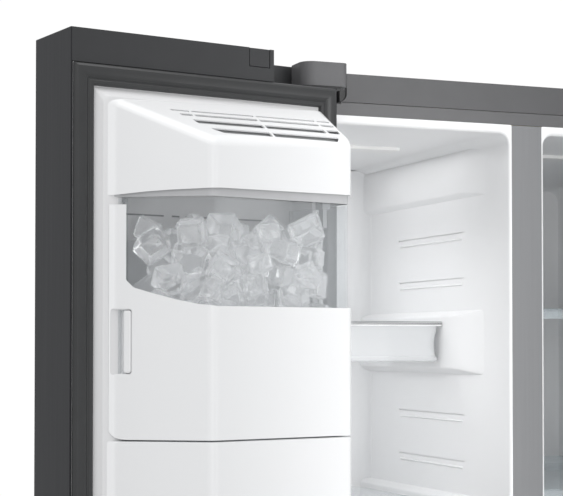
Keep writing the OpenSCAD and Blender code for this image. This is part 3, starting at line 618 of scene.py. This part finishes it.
def hood_slots():
    """Cutters for the rows of slots, square to the sloping top."""
    shell = Shell()
    for row in SLOT_ROWS:
        (high_z, low_z), (left_high, left_low), (right_high, right_low) = row["z"], row["left"], row["right"]
        ribs = [rib for rib in SLOT_RIBS if left_low + 4 < rib < right_low - 6]
        stops = [left_high] + ribs + [right_high]
        for number, (start, stop) in enumerate(zip(stops, stops[1:])):
            first, last = number == 0, number == len(stops) - 2
            upper = (start if first else start + RIB_HALF, stop if last else stop - RIB_HALF)
            lower = (left_low if first else upper[0], right_low if last else upper[1])
            corners = [(lower[0], low_z, 1.0), (lower[1], low_z, 1.6),
                       (upper[1], high_z, 0.9), (upper[0], high_z, 0.9)]
            face = [Vector((s, hood_depth(s, z), z)) for s, z in rounded(corners, 3)]
            shell.solid([[point + SLOPE_NORMAL * lift for point in face] for lift in (-5, 5)])
    return shell


def build_hood():
    """A thin shell with a softly rounded sloping top, slots and an open back."""
    rings = [on_z(rounded(ice_plan()), HOOD_FOOT)]
    for angle in quarter(7):
        plan = rounded(ice_plan(HOOD_ROUND * (1 - math.cos(angle))))
        sunk = HOOD_ROUND * (1 - math.sin(angle))
        rings.append(on_z(plan, lambda s, w, sunk=sunk: hood_top(s, w) - sunk * hood_sink(s, w)))
    hood = piece("hood", Shell().loft(rings, last_cap=True), "freezer_door", "white_plastic",
                 ["ice_housing"])
    thicken(hood, 1.8)
    below = [(0, HOOD_FOOT - 54), (400, HOOD_FOOT - 54)] + HOOD_EDGE
    cut(hood, Shell().prism(below, 0, 120))
    cut(hood, hood_slots())
    cut(hood, Shell().box((63, 0, -300), (HOOD_INSIDE_S, PLATFORM + 2.2, -92)))
    soften(hood, 0.7)


def build_hood_rim():
    """Rim that stands out a little under the hood's lower edge; its grey is painted shade for the gap under the
    hood.
    """
    band = Shell().loft([on_z(rounded(ice_plan(4.5)), z) for z in (HOOD_FOOT - 0.6, -188)])
    rim = piece("hood_inner_rim", band, "freezer_door", "rim_plastic")
    thicken(rim, 1.2)
    cut(rim, Shell().box((70, 0, -300), (HOOD_INSIDE_S, PLATFORM + 2.2, -92)))
    soften(rim, 0.3)


def build_air_guide():
    """Plate inside the hood, seen through its slots; its grey is painted shade that darkens the slots."""
    below = 8
    edges = [on_z([(left_s, left_w), (349, right_w)], lambda s, w: hood_top(s, w) - below)
             for left_s, left_w, right_w in ((118, 14, 14), (176, 83, 78))]
    sheet = Shell().loft(edges, closed=False)
    plate = piece("hood_air_guide", sheet, "freezer_door", "vent_plastic")
    thicken(plate, 1.5)


def build_ice_tray():
    """Twisting tray: a rounded block with two rows of cups, and its axle."""
    axis_w, axis_z = 8, -150
    half = 31.6
    block = (112.6, axis_w - half, 289.4, axis_w + half)
    low, high = axis_z - 13.6, axis_z + 11.6
    rings = [on_z(rounded(rectangle(*block, 6, grow)), z)
             for grow, z in ((-3, low), (-0.8, low + 1.2), (0, low + 4), (0, high - 0.6), (-0.5, high))]
    shell = Shell().solid(rings)
    tray = piece("twist_tray", shell, "tray", "maker_plastic", ["ice_tray"])
    cups = Shell()
    for row in range(2):
        for cell in range(6):
            s, w = 115.5 + cell * 29, axis_w - 29 + row * 30
            cups.solid([on_z(rounded(rectangle(s, w, s + 26, w + 28, 5, grow)), z)
                        for grow, z in ((-5, low + 3), (-1.5, low + 6), (0, high + 1))])
    cut(tray, cups)
    soften(tray, 0.3)
    axle = Shell()
    for start, stop in ((101, 113), (289, 295)):
        axle.prism(circle(axis_w, axis_z, 5, 32), start, stop, on_x)
    piece("tray_axle", axle, "tray", "maker_plastic")


def build_pocket_seams():
    """Dark joints across the back of the ice pocket."""
    seams = Shell()
    for s0, s1 in ((97, 152), (164, 175), (184, 324)):
        seams.box((s0, -45.2, -223), (s1, -44.4, -221))
    piece("pocket_seams", seams, "freezer_door", "line_plastic")


# ---- Ice bucket and chute cover ----
WINDOW = [(400, -190, 0), (66, -190, 0), (66, -309, 5), (73, -318, 6), (89, -324.5, 14), (113, -333, 30),
          (133, -338.5, 30), (153, -341, 30), (400, -341, 0)]
PULL = (-5.5, -425, 21, -344)
PULL_BAR = (9.5, -423, 19.5, -346)


def slanted_face():
    """Matrix of the slanted face: its own s runs along it from the tip, and its w out of it."""
    along = Vector((ICE_TURN - TIP_S, ICE_FRONT - TIP_W)).normalized()
    out = Vector((-along.y, along.x))
    return FREEZER_DOOR @ Matrix(((along.x, out.x, 0, TIP_S), (along.y, out.y, 0, TIP_W),
                                  (0, 0, 1, 0), (0, 0, 0, 1)))


def build_bucket_front():
    """Moulded front of the ice bucket: the window's edge, an open back and a hole for the pull."""
    panel = Shell().loft([on_z(rounded(ice_plan()), z) for z in (BUCKET_BOTTOM, -216)])
    front = piece("bucket_panel", panel, "ice_bin", "white_plastic", ["bucket_front"])
    thicken(front, 3)
    cut(front, Shell().prism(rounded(WINDOW), PLATFORM + 4, 130))
    # Clear of the liner, then open between the tip and the hinge side.
    cut(front, Shell().box((0, -10, -600), (400, PLATFORM + 0.4, -100)))
    cut(front, Shell().box((66, -10, -600), (356, PLATFORM + 3.6, -100)))
    # A round lower corner on the free side.
    left, right, top = ICE_LEFT - 1, ICE_RIGHT + 5, -200
    keep = [(left, BUCKET_BOTTOM, 21), (right, BUCKET_BOTTOM, 0), (right, top, 0), (left, top, 0)]
    cut(front, Shell().prism(rounded(keep, 8), -5, 130), keep_inside=True)
    cut(front, Shell().prism(rounded(rectangle(*PULL, 4)), -20, 6), slanted_face())
    soften(front, 0.8)


def build_pull():
    """Recessed pull in the slanted face: a cup, and a bar across one side of it."""
    face = slanted_face()
    cup = Shell().loft([on_w(rounded(rectangle(*PULL, 4, grow)), w)
                        for grow, w in ((1.5, -2.6), (0, -2.6), (0, -8), (-2, -10))], False, True)
    recess = piece("pull_recess", cup, "ice_bin", "white_plastic", space=face)
    thicken(recess, 1.2, True)
    soften(recess, 0.3)
    grip = Shell().solid([on_w(rounded(rectangle(*PULL_BAR, 3, grow)), w)
                          for grow, w in ((0, -9.8), (0, -1.6), (-0.7, -0.5), (-2.0, 0.1))])
    soften(piece("pull_bar", grip, "ice_bin", "white_plastic", space=face), 0.3, 50)


def bucket_plan(distance=0.0):
    """Plan of the clear bucket: the deep part in the liner's pocket, then the part in front of it."""
    corners = [(71, -41, 8), (347, -41, 8), (347, PLATFORM - 1, 0), (ICE_RIGHT - 3.4, PLATFORM + 0.4, 0),
               (ICE_RIGHT - 3.4, ICE_FRONT - 11.4, 9), (ICE_TURN + 1, ICE_FRONT - 3.6, 20),
               (ICE_LEFT + 14.6, PLATFORM + 0.4, 0), (71, PLATFORM - 1, 0)]
    return inset(corners, distance)


def build_bucket():
    """Clear ice bucket with a low back wall and a bore for its auger."""
    wall = 2.5
    rings = [on_z(rounded(bucket_plan(inward)), z) for inward, z in
             ((2, BUCKET_BOTTOM + 2), (0.6, BUCKET_BOTTOM + 4), (0, BUCKET_BOTTOM + 7), (0, BUCKET_TOP),
              (wall, BUCKET_TOP), (wall, BUCKET_BOTTOM + 9), (wall + 2, BUCKET_BOTTOM + 4.5))]
    bucket = piece("clear_bucket", Shell().solid(rings), "ice_bin", "clear_plastic",
                   ["ice_bucket"])
    cut(bucket, Shell().box((77, -60, -256), (341, -24, -100)))
    cut(bucket, Shell().prism(circle(1, -458, 5.2, 24), 60, 76, on_x))
    soften(bucket, 0.4)


def build_chute_cover():
    """White cover under the bucket, hollow, with a round hole for the ice."""
    top = BUCKET_BOTTOM - 2
    rings = [on_z(rounded(ice_plan(inward)), z) for inward, z in
             ((1.2, top), (0, top - 1.2), (0, top - 118), (3, top - 128), (9, top - 134), (18, top - 136))]
    shell = Shell().solid(rings)
    cover = piece("chute_hood", shell, "freezer_door", "white_plastic", ["chute_cover"])
    wall = 3
    inner = [on_z(rounded(ice_plan(wall + inward)), z) for inward, z in
             ((0, top - wall), (0, top - 118), (6, top - 131))]
    cut(cover, Shell().solid(inner))
    cut(cover, Shell().prism(circle(196, 38, 27, 32), top - 5, top + 3, on_z))
    soften(cover, 0.4)


# ---- Ice ----
MOST_LUMPS = 260
DROP_TRIES = 30
DROPS_MISSED = 12
WALL_ROOM = 1.15
CONTACT = 0.74
LUMP_SIZE = 22.5
BLOCK_SHARE = 0.84


def ice_lumps(rng, low, high, mean):
    """Places for lumps of ice dropped one by one: each falls to the lowest of a few random spots."""
    placed = []
    missed = 0
    while len(placed) < MOST_LUMPS:
        size = mean * rng.uniform(0.85, 1.15)
        room, contact = size * WALL_ROOM, size * CONTACT
        best = None
        for _ in range(DROP_TRIES):
            s = rng.uniform(low[0] + room, high[0] - room)
            deepest = min(high[1], front_wall(s)) - room
            if deepest < low[1] + room:
                continue
            w = rng.uniform(low[1] + room, deepest)
            z = low[2] + room
            for ps, pw, pz, pr in placed:
                flat = (ps - s) ** 2 + (pw - w) ** 2
                near = (CONTACT * pr + contact) ** 2
                if flat < near:
                    z = max(z, pz + math.sqrt(near - flat))
            if best is None or z < best[2]:
                best = (s, w, z, size)
        if best is None:
            continue
        if best[2] > high[2]:
            missed += 1
            if missed > DROPS_MISSED:
                break
            continue
        placed.append(best)
    return placed


def front_wall(s):
    """Depth of the bucket's inner front face."""
    return min(ICE_FRONT - 7, TIP_W + (s - TIP_S) / SLANT - 9)


def ice_lump(rng, place, size):
    """One lump: a tapered block with knocked-off corners, turned at random."""
    mesh = bmesh.new()
    bmesh.ops.create_cube(mesh, size=2.0)
    taper = rng.uniform(0.62, 0.85)
    stretch = Vector((rng.uniform(0.85, 1.15), rng.uniform(0.7, 0.95), rng.uniform(0.75, 1.0)))
    for vertex in mesh.verts:
        grow = taper if vertex.co.z > 0 else 1.0
        vertex.co.x *= grow * stretch.x * rng.uniform(0.94, 1.06)
        vertex.co.y *= grow * stretch.y * rng.uniform(0.94, 1.06)
        vertex.co.z *= stretch.z
    bmesh.ops.bevel(mesh, geom=list(mesh.edges), offset=rng.uniform(0.10, 0.2), segments=2, affect="EDGES")
    turn = Matrix.Identity(4)
    for most, axis in ((math.tau, "Z"), (math.pi, "X"), (math.tau, "Y")):
        turn = turn @ Matrix.Rotation(rng.uniform(0, most), 4, axis)
    mesh.transform(Matrix.Translation(place) @ turn @ Matrix.Scale(size * BLOCK_SHARE, 4))
    return mesh


def build_ice():
    """One heap of ice that rides with the bucket."""
    rng = random.Random(7)
    low, high = (73.5, -38.5, BUCKET_BOTTOM + 8), (ICE_RIGHT - 6, ICE_FRONT - 6, -243)
    heap = bmesh.new()
    for s, w, z, size in ice_lumps(rng, low, high, LUMP_SIZE):
        lump = ice_lump(rng, (s, w, z), size)
        scratch = bpy.data.meshes.new("lump")
        lump.to_mesh(scratch)
        heap.from_mesh(scratch)
        lump.free()
        bpy.data.meshes.remove(scratch)
    mesh = bpy.data.meshes.new("ice")
    bmesh.ops.recalc_face_normals(heap, faces=heap.faces)
    heap.to_mesh(mesh)
    heap.free()
    mesh.transform(FREEZER_DOOR)
    mesh.flip_normals()  # this door's frame is mirrored
    ice = add_object("ice", mesh)
    mesh.materials.append(MATERIALS["ice"])
    even_shading(ice)
    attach(ice, "ice_bin")


# ---- Doors ----
GASKET = [(0, 0), (0, 2.6), (1.2, 4.8), (4, 6.6), (9, 7.3), (14, 6.7), (17, 5.2), (18.2, 3.9), (19.2, 4.4),
          (21, 5.7), (24, 5.9), (26, 4.6), (26.8, 2.2), (26.8, 0)]
GASKET_IN = 3
SEAL_Z = (-DOOR_H + 32, -CAP_H - 1.5)
GRIP = ((-1, -95, -941), (27, -59, -639))
# Room for the grip in each door, then for the dispenser, its controls, the ice pocket and the chute.
FOAM_HOLES = {
    "freezer": [GRIP, ((95, -110, -853), (297, -31, -531)), ((95, -110, -521), (297, -91, -439)),
                ((65, -49, -513), (353, 0, -108)), ((160, -80, -620), (232, 0, -500))],
    "fridge": [GRIP],
}
ICE_POCKET = (68, BUCKET_BOTTOM - 5, 350, -112)
DOORS = {"freezer": (FREEZER_W, FREEZER_DOOR), "fridge": (FRIDGE_W, FRIDGE_DOOR)}


def build_gaskets():
    """Magnetic seals: one profile run round each door with mitred corners."""
    for door, (width, _) in DOORS.items():
        rings = []
        for inward, high in GASKET:
            s0, s1 = GASKET_IN + inward, width - GASKET_IN - inward
            z0, z1 = SEAL_Z[0] + inward, SEAL_Z[1] - inward
            rings.append(on_w([(s0, z0), (s1, z0), (s1, z1), (s0, z1)], 0.05 + high))
        rings.append(rings[0])
        seal = piece("door_seal_" + door, Shell().loft(rings), door + "_door", "gasket_rubber",
                     [door + "_gasket"])
        soften(seal, 0.25, 24, 1)


def build_skin_hems():
    """Edges of the steel skins folded in under the seals."""
    for door, (width, _) in DOORS.items():
        shell = Shell()
        for low_s, high_s in ((0.7, 7), (width - 7, width - 0.7)):
            shell.box((low_s, -2.2, -DOOR_H + 40), (high_s, -1.0, -CAP_H - 3))
        soften(piece(f"skin_hem_{door}_door", shell, door + "_door", "cap_plastic"), 0.3)


def liner_rings(width):
    """Flange, then the slanted and rounded edge of the raised middle."""
    flange = rectangle(3.2, -DOOR_H + 37, width - 3.2, -CAP_H - 1, 0.5)
    edge = rectangle(30, -DOOR_H + 60, width - 30, -71.3, 0.5)
    steps = [(0, -0.1, 0.5), (0.3, 0.2, 0.8), (8.6, 5.6, 8.5), (9.6, 6.8, 9.6), (10.9, 7.7, 10.6),
             (12.6, PLATFORM, 12)]
    rings = [on_w(rounded(flange), -0.1)]
    for inward, w, radius in steps:
        rings.append(on_w(rounded([(x, z, radius) for x, z, _ in inset(edge, inward)]), w))
    return rings


def build_door_liners():
    """Inner liner of each door; the freezer's has a deep pocket behind the ice bucket."""
    for door, (width, _) in DOORS.items():
        rings = liner_rings(width)
        with_pocket = door == "freezer"
        if with_pocket:
            for grow, w in ((5, PLATFORM), (2, 7.4), (0.6, 6), (0, 4), (0, -37), (-2.5, -42.5), (-8, -45)):
                rings.append(on_w(rounded(rectangle(*ICE_POCKET, 10 + grow, grow)), w))
        shell = Shell().loft(rings, False, True)
        sheet = piece(f"inner_liner_{door}_door", shell, door + "_door", "door_liner_plastic",
                      [door + "_door_liner"])
        thicken(sheet, LINER_WALL, even=not with_pocket)
        soften(sheet, 0.3, 30)


def build_door_foams():
    """Insulation inside each door, with room for what is let into it."""
    for door, (width, space) in DOORS.items():
        shell = Shell().box((1.2, 1 - DOOR_T, -DOOR_H + 37), (width - 1.2, -3, -CAP_H - 26))
        foam = piece(f"foam_{door}_door", shell, door + "_door", "foam", [door + "_door_foam"])
        for low, high in FOAM_HOLES[door]:
            cut(foam, Shell().box(low, high), space)


# ---- Compartments ----
ROOM_TOP, ROOM_FLOOR = HEIGHT - 73, 142
FRAME_TOP, FRAME_BOTTOM = HEIGHT - 60, 128
MOUTH_SIDE, ROOM_SIDE, MOUTH_DEEP = 26, 50, 95
LIP = 4
FREEZER_LEFT, FREEZER_RIGHT = -HALF_W + ROOM_SIDE, MULLION[0] - LIP
FRIDGE_LEFT, FRIDGE_RIGHT = MULLION[1] + LIP, HALF_W - ROOM_SIDE
ROOM_BACK = 302
STEP_FOOT, STEP_Y, STEP_TOP = 20, 70, 300
PANEL_Y = 176
ROOM_CORNER = 22
FRONT_RAMP = 8
BELT_TOPS = (-334, -623, -883)
RIB_TOPS = (-210, -282, -497, -570, -760, -830)
GROOVE_DEEP, GROOVE_HIGH = 1.9, 2.2


def liner_loft(mouth_out, wall_out, inner, sign):
    """Rings of a compartment liner from its flange to its back; sign is -1 for the freezer on the left."""

    def ring(y, outer, inside, floor=ROOM_FLOOR, top=ROOM_TOP, radius=ROOM_CORNER):
        x0, x1 = (outer, inside) if sign < 0 else (inside, outer)
        return on_w(rounded(rectangle(x0, floor, x1, top, radius), 6), y)

    flange_y = FRONT + 0.1
    rings = [ring(flange_y, mouth_out + sign * 2.5, inner - sign * 3.9, FRAME_BOTTOM, FRAME_TOP, 2)]
    bend = 5
    for angle in quarter(4):
        grow = bend * (1 - math.sin(angle))
        y = flange_y + bend * (1 - math.cos(angle))
        rings.append(ring(y, mouth_out + sign * grow, inner - sign * grow * 0.7,
                          ROOM_FLOOR - grow, ROOM_TOP + grow, ROOM_CORNER - 6 + grow))
    for beyond, outer in ((-6, mouth_out), (2, mouth_out - sign * 2),
                          (22, wall_out + sign * 2), (30, wall_out)):
        rings.append(ring(FRONT + MOUTH_DEEP + beyond, outer, inner))
    for y, rise in ((STEP_FOOT - 22, 0), (STEP_FOOT - 6, 3), (STEP_FOOT + 5, 18)):
        rings.append(ring(y, wall_out, inner, ROOM_FLOOR + rise))
    for y, down in ((STEP_Y - 4, 14), (STEP_Y + 2, 4), (STEP_Y + 18, 0)):
        rings.append(ring(y, wall_out, inner, STEP_TOP - down))
    for grow, short in ((0, 30), (3, 14), (10, 4), (28, 0)):
        rings.append(ring(ROOM_BACK - short, wall_out - sign * grow, inner + sign * grow, STEP_TOP + grow,
                          ROOM_TOP - grow))
    return Shell().loft(rings, False, True)


def wall_relief(x, sign, plates):
    """Low plates on a side wall: (y0, y1, z0, z1, height, chamfer), z counted from the cabinet's top."""
    shell = Shell()
    for y0, y1, z0, z1, height, slant in plates:
        most = 0.4 * (z1 - z0)
        ramp = FRONT_RAMP if height > 3 else 1
        radius = min(slant, most)
        rings = []
        for inward, off in ((0, -1.0), (0, height * 0.02), (slant * 0.75, height * 0.86),
                            (slant, height * 0.97), (slant * 1.25, height)):
            up = min(inward, most)
            outline = rectangle(y0 + inward * ramp, HEIGHT + z0 + up, y1 - inward, HEIGHT + z1 - up, radius)
            rings.append(on_x(rounded(outline), x + sign * off))
        shell.solid(rings)
    return shell


def build_freezer_liner():
    """Freezer liner with grooves in its walls, and the belts and ribs that stand off them."""
    shell = liner_loft(-HALF_W + MOUTH_SIDE, FREEZER_LEFT, FREEZER_RIGHT, -1)
    liner = piece("inner_liner_freezer", shell, "cabinet", "liner_plastic", ["freezer_liner"])
    thicken(liner, LINER_WALL, even=False)
    for name, x, sign, start in (("left", FREEZER_LEFT, 1, FRONT + 130),
                                 ("right", FREEZER_RIGHT, -1, FRONT + 68)):
        grooves = Shell()
        plates = [(start, PANEL_Y - 20, -157, -78, 6.0, 9)]
        for top in BELT_TOPS:
            plates.append((start + 12, PANEL_Y - 12, top - 100, top, 11.0, 9))
        for top in RIB_TOPS:
            plates.append((FRONT + 150, FRONT + 375, top - 13, top - 9, 1.6, 1.6))
            grooves.box((x - GROOVE_DEEP, FRONT + 145, HEIGHT + top - GROOVE_HIGH),
                        (x + GROOVE_DEEP, FRONT + 380, HEIGHT + top), 1, "x")
        relief = wall_relief(x, sign, plates)
        soften(piece("freezer_wall_belts_" + name, relief, "cabinet", "liner_plastic"), 0.5, 60)
        cut(liner, grooves, ROOM)
    soften(liner, 0.3, 30)


def build_fridge_liner():
    """Fridge liner and the ledges on its walls."""
    shell = liner_loft(HALF_W - MOUTH_SIDE, FRIDGE_RIGHT, FRIDGE_LEFT, 1)
    liner = piece("inner_liner_fridge", shell, "cabinet", "liner_plastic", ["fridge_liner"])
    thicken(liner, LINER_WALL, even=False)
    soften(liner, 0.3, 30)
    for name, x, sign in (("left", FRIDGE_LEFT, 1), ("right", FRIDGE_RIGHT, -1)):
        plates = [(FRONT + 156, ROOM_BACK - 30, top - 12, top - 4.2, 6, 2) for top in (-330, -620, -900)]
        plates += [(FRONT + 145, FRONT + 480, top - 3, top, 1.6, 1.4) for top in (-210, -497, -770)]
        relief = wall_relief(x, sign, plates)
        soften(piece("fridge_wall_belts_" + name, relief, "cabinet", "liner_plastic"), 0.5, 50)


def build_hinge_pockets():
    """Black lining of the pocket round each upper hinge, and a black plate beside it, behind the trim; their black
    stands partly for the dark hinge bracket and partly is painted shadow under the hinge cover.
    """
    for name, side in (("left", -1), ("right", 1)):
        x0, x1 = sorted((side * (HALF_W - 22.5), side * (HALF_W - 91.5)))
        y0, y1, z0, z1 = FRONT + 1.2, FRONT + 69, HEIGHT - 43.5, HEIGHT - 1
        shell = Shell().loft([on_z([(x0, y0), (x1, y0), (x1, y1), (x0, y1)], z0)], True)
        wall = [(x0, y0), (x0, y1), (x1, y1), (x1, y0)]
        shell.loft([on_z(wall, z0), on_z(wall, z1)], closed=False)
        thicken(piece("hinge_pocket_" + name, shell, "cabinet", "black_plastic"), 1)
        # Black plate in the trim's notch: partly painted shadow under the hinge cover.
        x0, x1 = sorted((side * (HALF_W - 90), side * (HALF_W - 116)))
        plate = Shell().box((x0, FRONT + 3.1, HEIGHT - 42), (x1, FRONT + 3.8, HEIGHT - 4))
        piece("trim_backing_" + name, plate, "cabinet", "black_plastic")


def build_toe_plate():
    """Dark plate behind the toe grille."""
    plate = Shell().box((-HALF_W + 2, FRONT + 1.2, 27), (HALF_W - 2, FRONT + 3.6, FRAME_BOTTOM + 1))
    soften(piece("toe_plate", plate, "cabinet", "cap_plastic"), 0.4)


def build_rear_panel():
    """Rear panel of the freezer, coved into the side walls, with air slots."""
    cove = 46
    x0, x1 = FREEZER_LEFT + 0.5, FREEZER_RIGHT - 0.5
    bends = [(cove * (1 - math.cos(angle)), PANEL_Y - cove + cove * math.sin(angle)) for angle in quarter(9)]
    front = [(x0 + inward, y) for inward, y in bends] + [(x1 - inward, y) for inward, y in reversed(bends)]
    rings = [on_z(front, z) for z in (STEP_TOP + 2, STEP_TOP + 400, ROOM_TOP - 60, ROOM_TOP - 2)]
    panel = piece("rear_panel", Shell().loft(rings, closed=False), "cabinet", "panel_plastic",
                  ["evaporator_cover"])
    thicken(panel, 2.5, True)
    slots = Shell()
    for row in range(5):
        z = ROOM_TOP - 70 - row * 9
        slots.box((-330, 160, z - 3), (-170, 190, z), 1.4, "w")
    for z in (470, 486, 760, 776, 1060, 1076):
        slots.box((-300, 160, z - 4), (-200, 190, z + 1), 2, "w")
    cut(panel, slots, ROOM)
    soften(panel, 0.4)


# ---- Freezer shelves ----
SHELF_TOPS = [HEIGHT - 351, HEIGHT - 640, HEIGHT - 900]
SHELF_X0, SHELF_X1 = FREEZER_LEFT + 12, FREEZER_RIGHT - 12
SHELF_Y0, SHELF_Y1 = FRONT + 197, PANEL_Y - 10


def build_freezer_shelves():
    """Clear shelves with rounded back corners."""
    shell = Shell()
    plan = [(SHELF_X0, SHELF_Y0 + 6, 2), (SHELF_X1, SHELF_Y0 + 6, 2), (SHELF_X1, SHELF_Y1, 40),
            (SHELF_X0, SHELF_Y1, 40)]
    inner, outer = rounded(inset(plan, 0.4)), rounded(plan)
    for top in SHELF_TOPS:
        shell.solid([on_z(inner, top - 4), on_z(outer, top - 3.6), on_z(outer, top - 0.4), on_z(inner, top)])
    soften(piece("clear_shelves", shell, "cabinet", "clear_plastic", ["freezer_shelves"]), 0.3)


def build_shelf_trims():
    """White trim along each shelf's front edge, with thin dark strips on it that are painted shade lines."""
    trims, shade_lines = Shell(), Shell()
    front, rebate, behind = SHELF_Y0 + 0.4, SHELF_Y0 + 6.5, SHELF_Y0 + 9
    for top in SHELF_TOPS:
        profile = [(behind, top - 4.2, 0), (behind, top - 7, 0), (front, top - 7, 1.2),
                   (front, top - 0.3, 1.2), (behind, top - 0.3, 0), (behind, top - 0.8, 0),
                   (rebate, top - 1, 0), (rebate, top - 4.2, 0)]
        trims.prism(rounded(profile, 3), SHELF_X0, SHELF_X1, on_x)
        # Dark strips across the trim's face: painted shade lines.
        for high, thick in ((top + 0.2, 1.1), (top - 1.7, 1.6), (top - 4.0, 0.9)):
            shade_lines.box((SHELF_X0 + 0.3, SHELF_Y0, high - thick), (SHELF_X1 - 0.3, SHELF_Y0 + 0.5, high))
    soften(piece("shelf_trims", trims, "cabinet", "white_plastic"), 0.25, 50)
    piece("shelf_trim_shade_lines", shade_lines, "cabinet", "line_plastic")


def build_shelf_skirt():
    """Milky skirt hung under the top shelf: hollow, with a lip turned in along its lower edge."""
    drop, deep, lip = 60, 190, 14
    x0, x1, y0, y1 = SHELF_X0 + 2, SHELF_X1 - 2, SHELF_Y0 + 4, SHELF_Y0 + 4 + deep
    profile = [(0, 0), (0.3, 8), (2.2, 18), (3.4, 30), (3.0, 42), (1.4, drop - 9), (-0.6, drop - 7.5),
               (-1.0, drop - 3.5), (0.6, drop - 1), (4, drop), (lip, drop)]
    rings = []
    for inward, down in profile:
        left = [(x0 + inward, y1), (x0 + inward, y0 + 12), (x0 + inward + 4, y0 + inward + 3),
                (x0 + 12 + inward, y0 + inward)]
        right = [(x0 + x1 - x, y) for x, y in reversed(left)]
        rings.append(on_z(left + right, SHELF_TOPS[0] - 4 - down))
    skirt = piece("shelf_skirt", Shell().loft(rings, closed=False), "cabinet", "milky_plastic")
    thicken(skirt, 2)
    soften(skirt, 0.4)


# ---- CAD nodes that stay: softened edges and a finish ----
SOFT_EDGE = {
    "hinge_cover_left": 2.2, "hinge_cover_right": 2.2, "freezer_door_caps": 0.8, "fridge_door_caps": 0.8,
    "toe_grille": 1.2, "control_panel": 0.8, "dispenser_housing": 0.6, "sensor_arm": 1.2,
}
OTHER_FINISH = {"top_trim": "trim_plastic", "ice_maker": "maker_plastic"}


def dress_nodes():
    """Softens every CAD node and gives it a finish, by its slot or by its name."""
    slots = {row["node"]: row["material_slot"] for row in frame["record"]["subparts"]}
    for name, node in NODES.items():
        node.data.materials.clear()
        node.data.materials.append(MATERIALS[OTHER_FINISH.get(name, slots[name])])
        soften(node, SOFT_EDGE.get(name, 0.4), 38)


bpy.context.scene.view_settings.view_transform = "Standard"
make_camera()
make_world()
make_lamps()
make_floor()
MATERIALS = make_materials()
dress_nodes()
build_hood()
build_hood_rim()
build_air_guide()
build_bucket_front()
build_pull()
build_bucket()
build_chute_cover()
build_ice()
build_gaskets()
build_skin_hems()
build_door_liners()
build_door_foams()
build_freezer_liner()
build_fridge_liner()
build_rear_panel()
build_hinge_pockets()
build_toe_plate()
build_freezer_shelves()
build_shelf_trims()
build_shelf_skirt()
build_pocket_seams()
build_ice_tray()
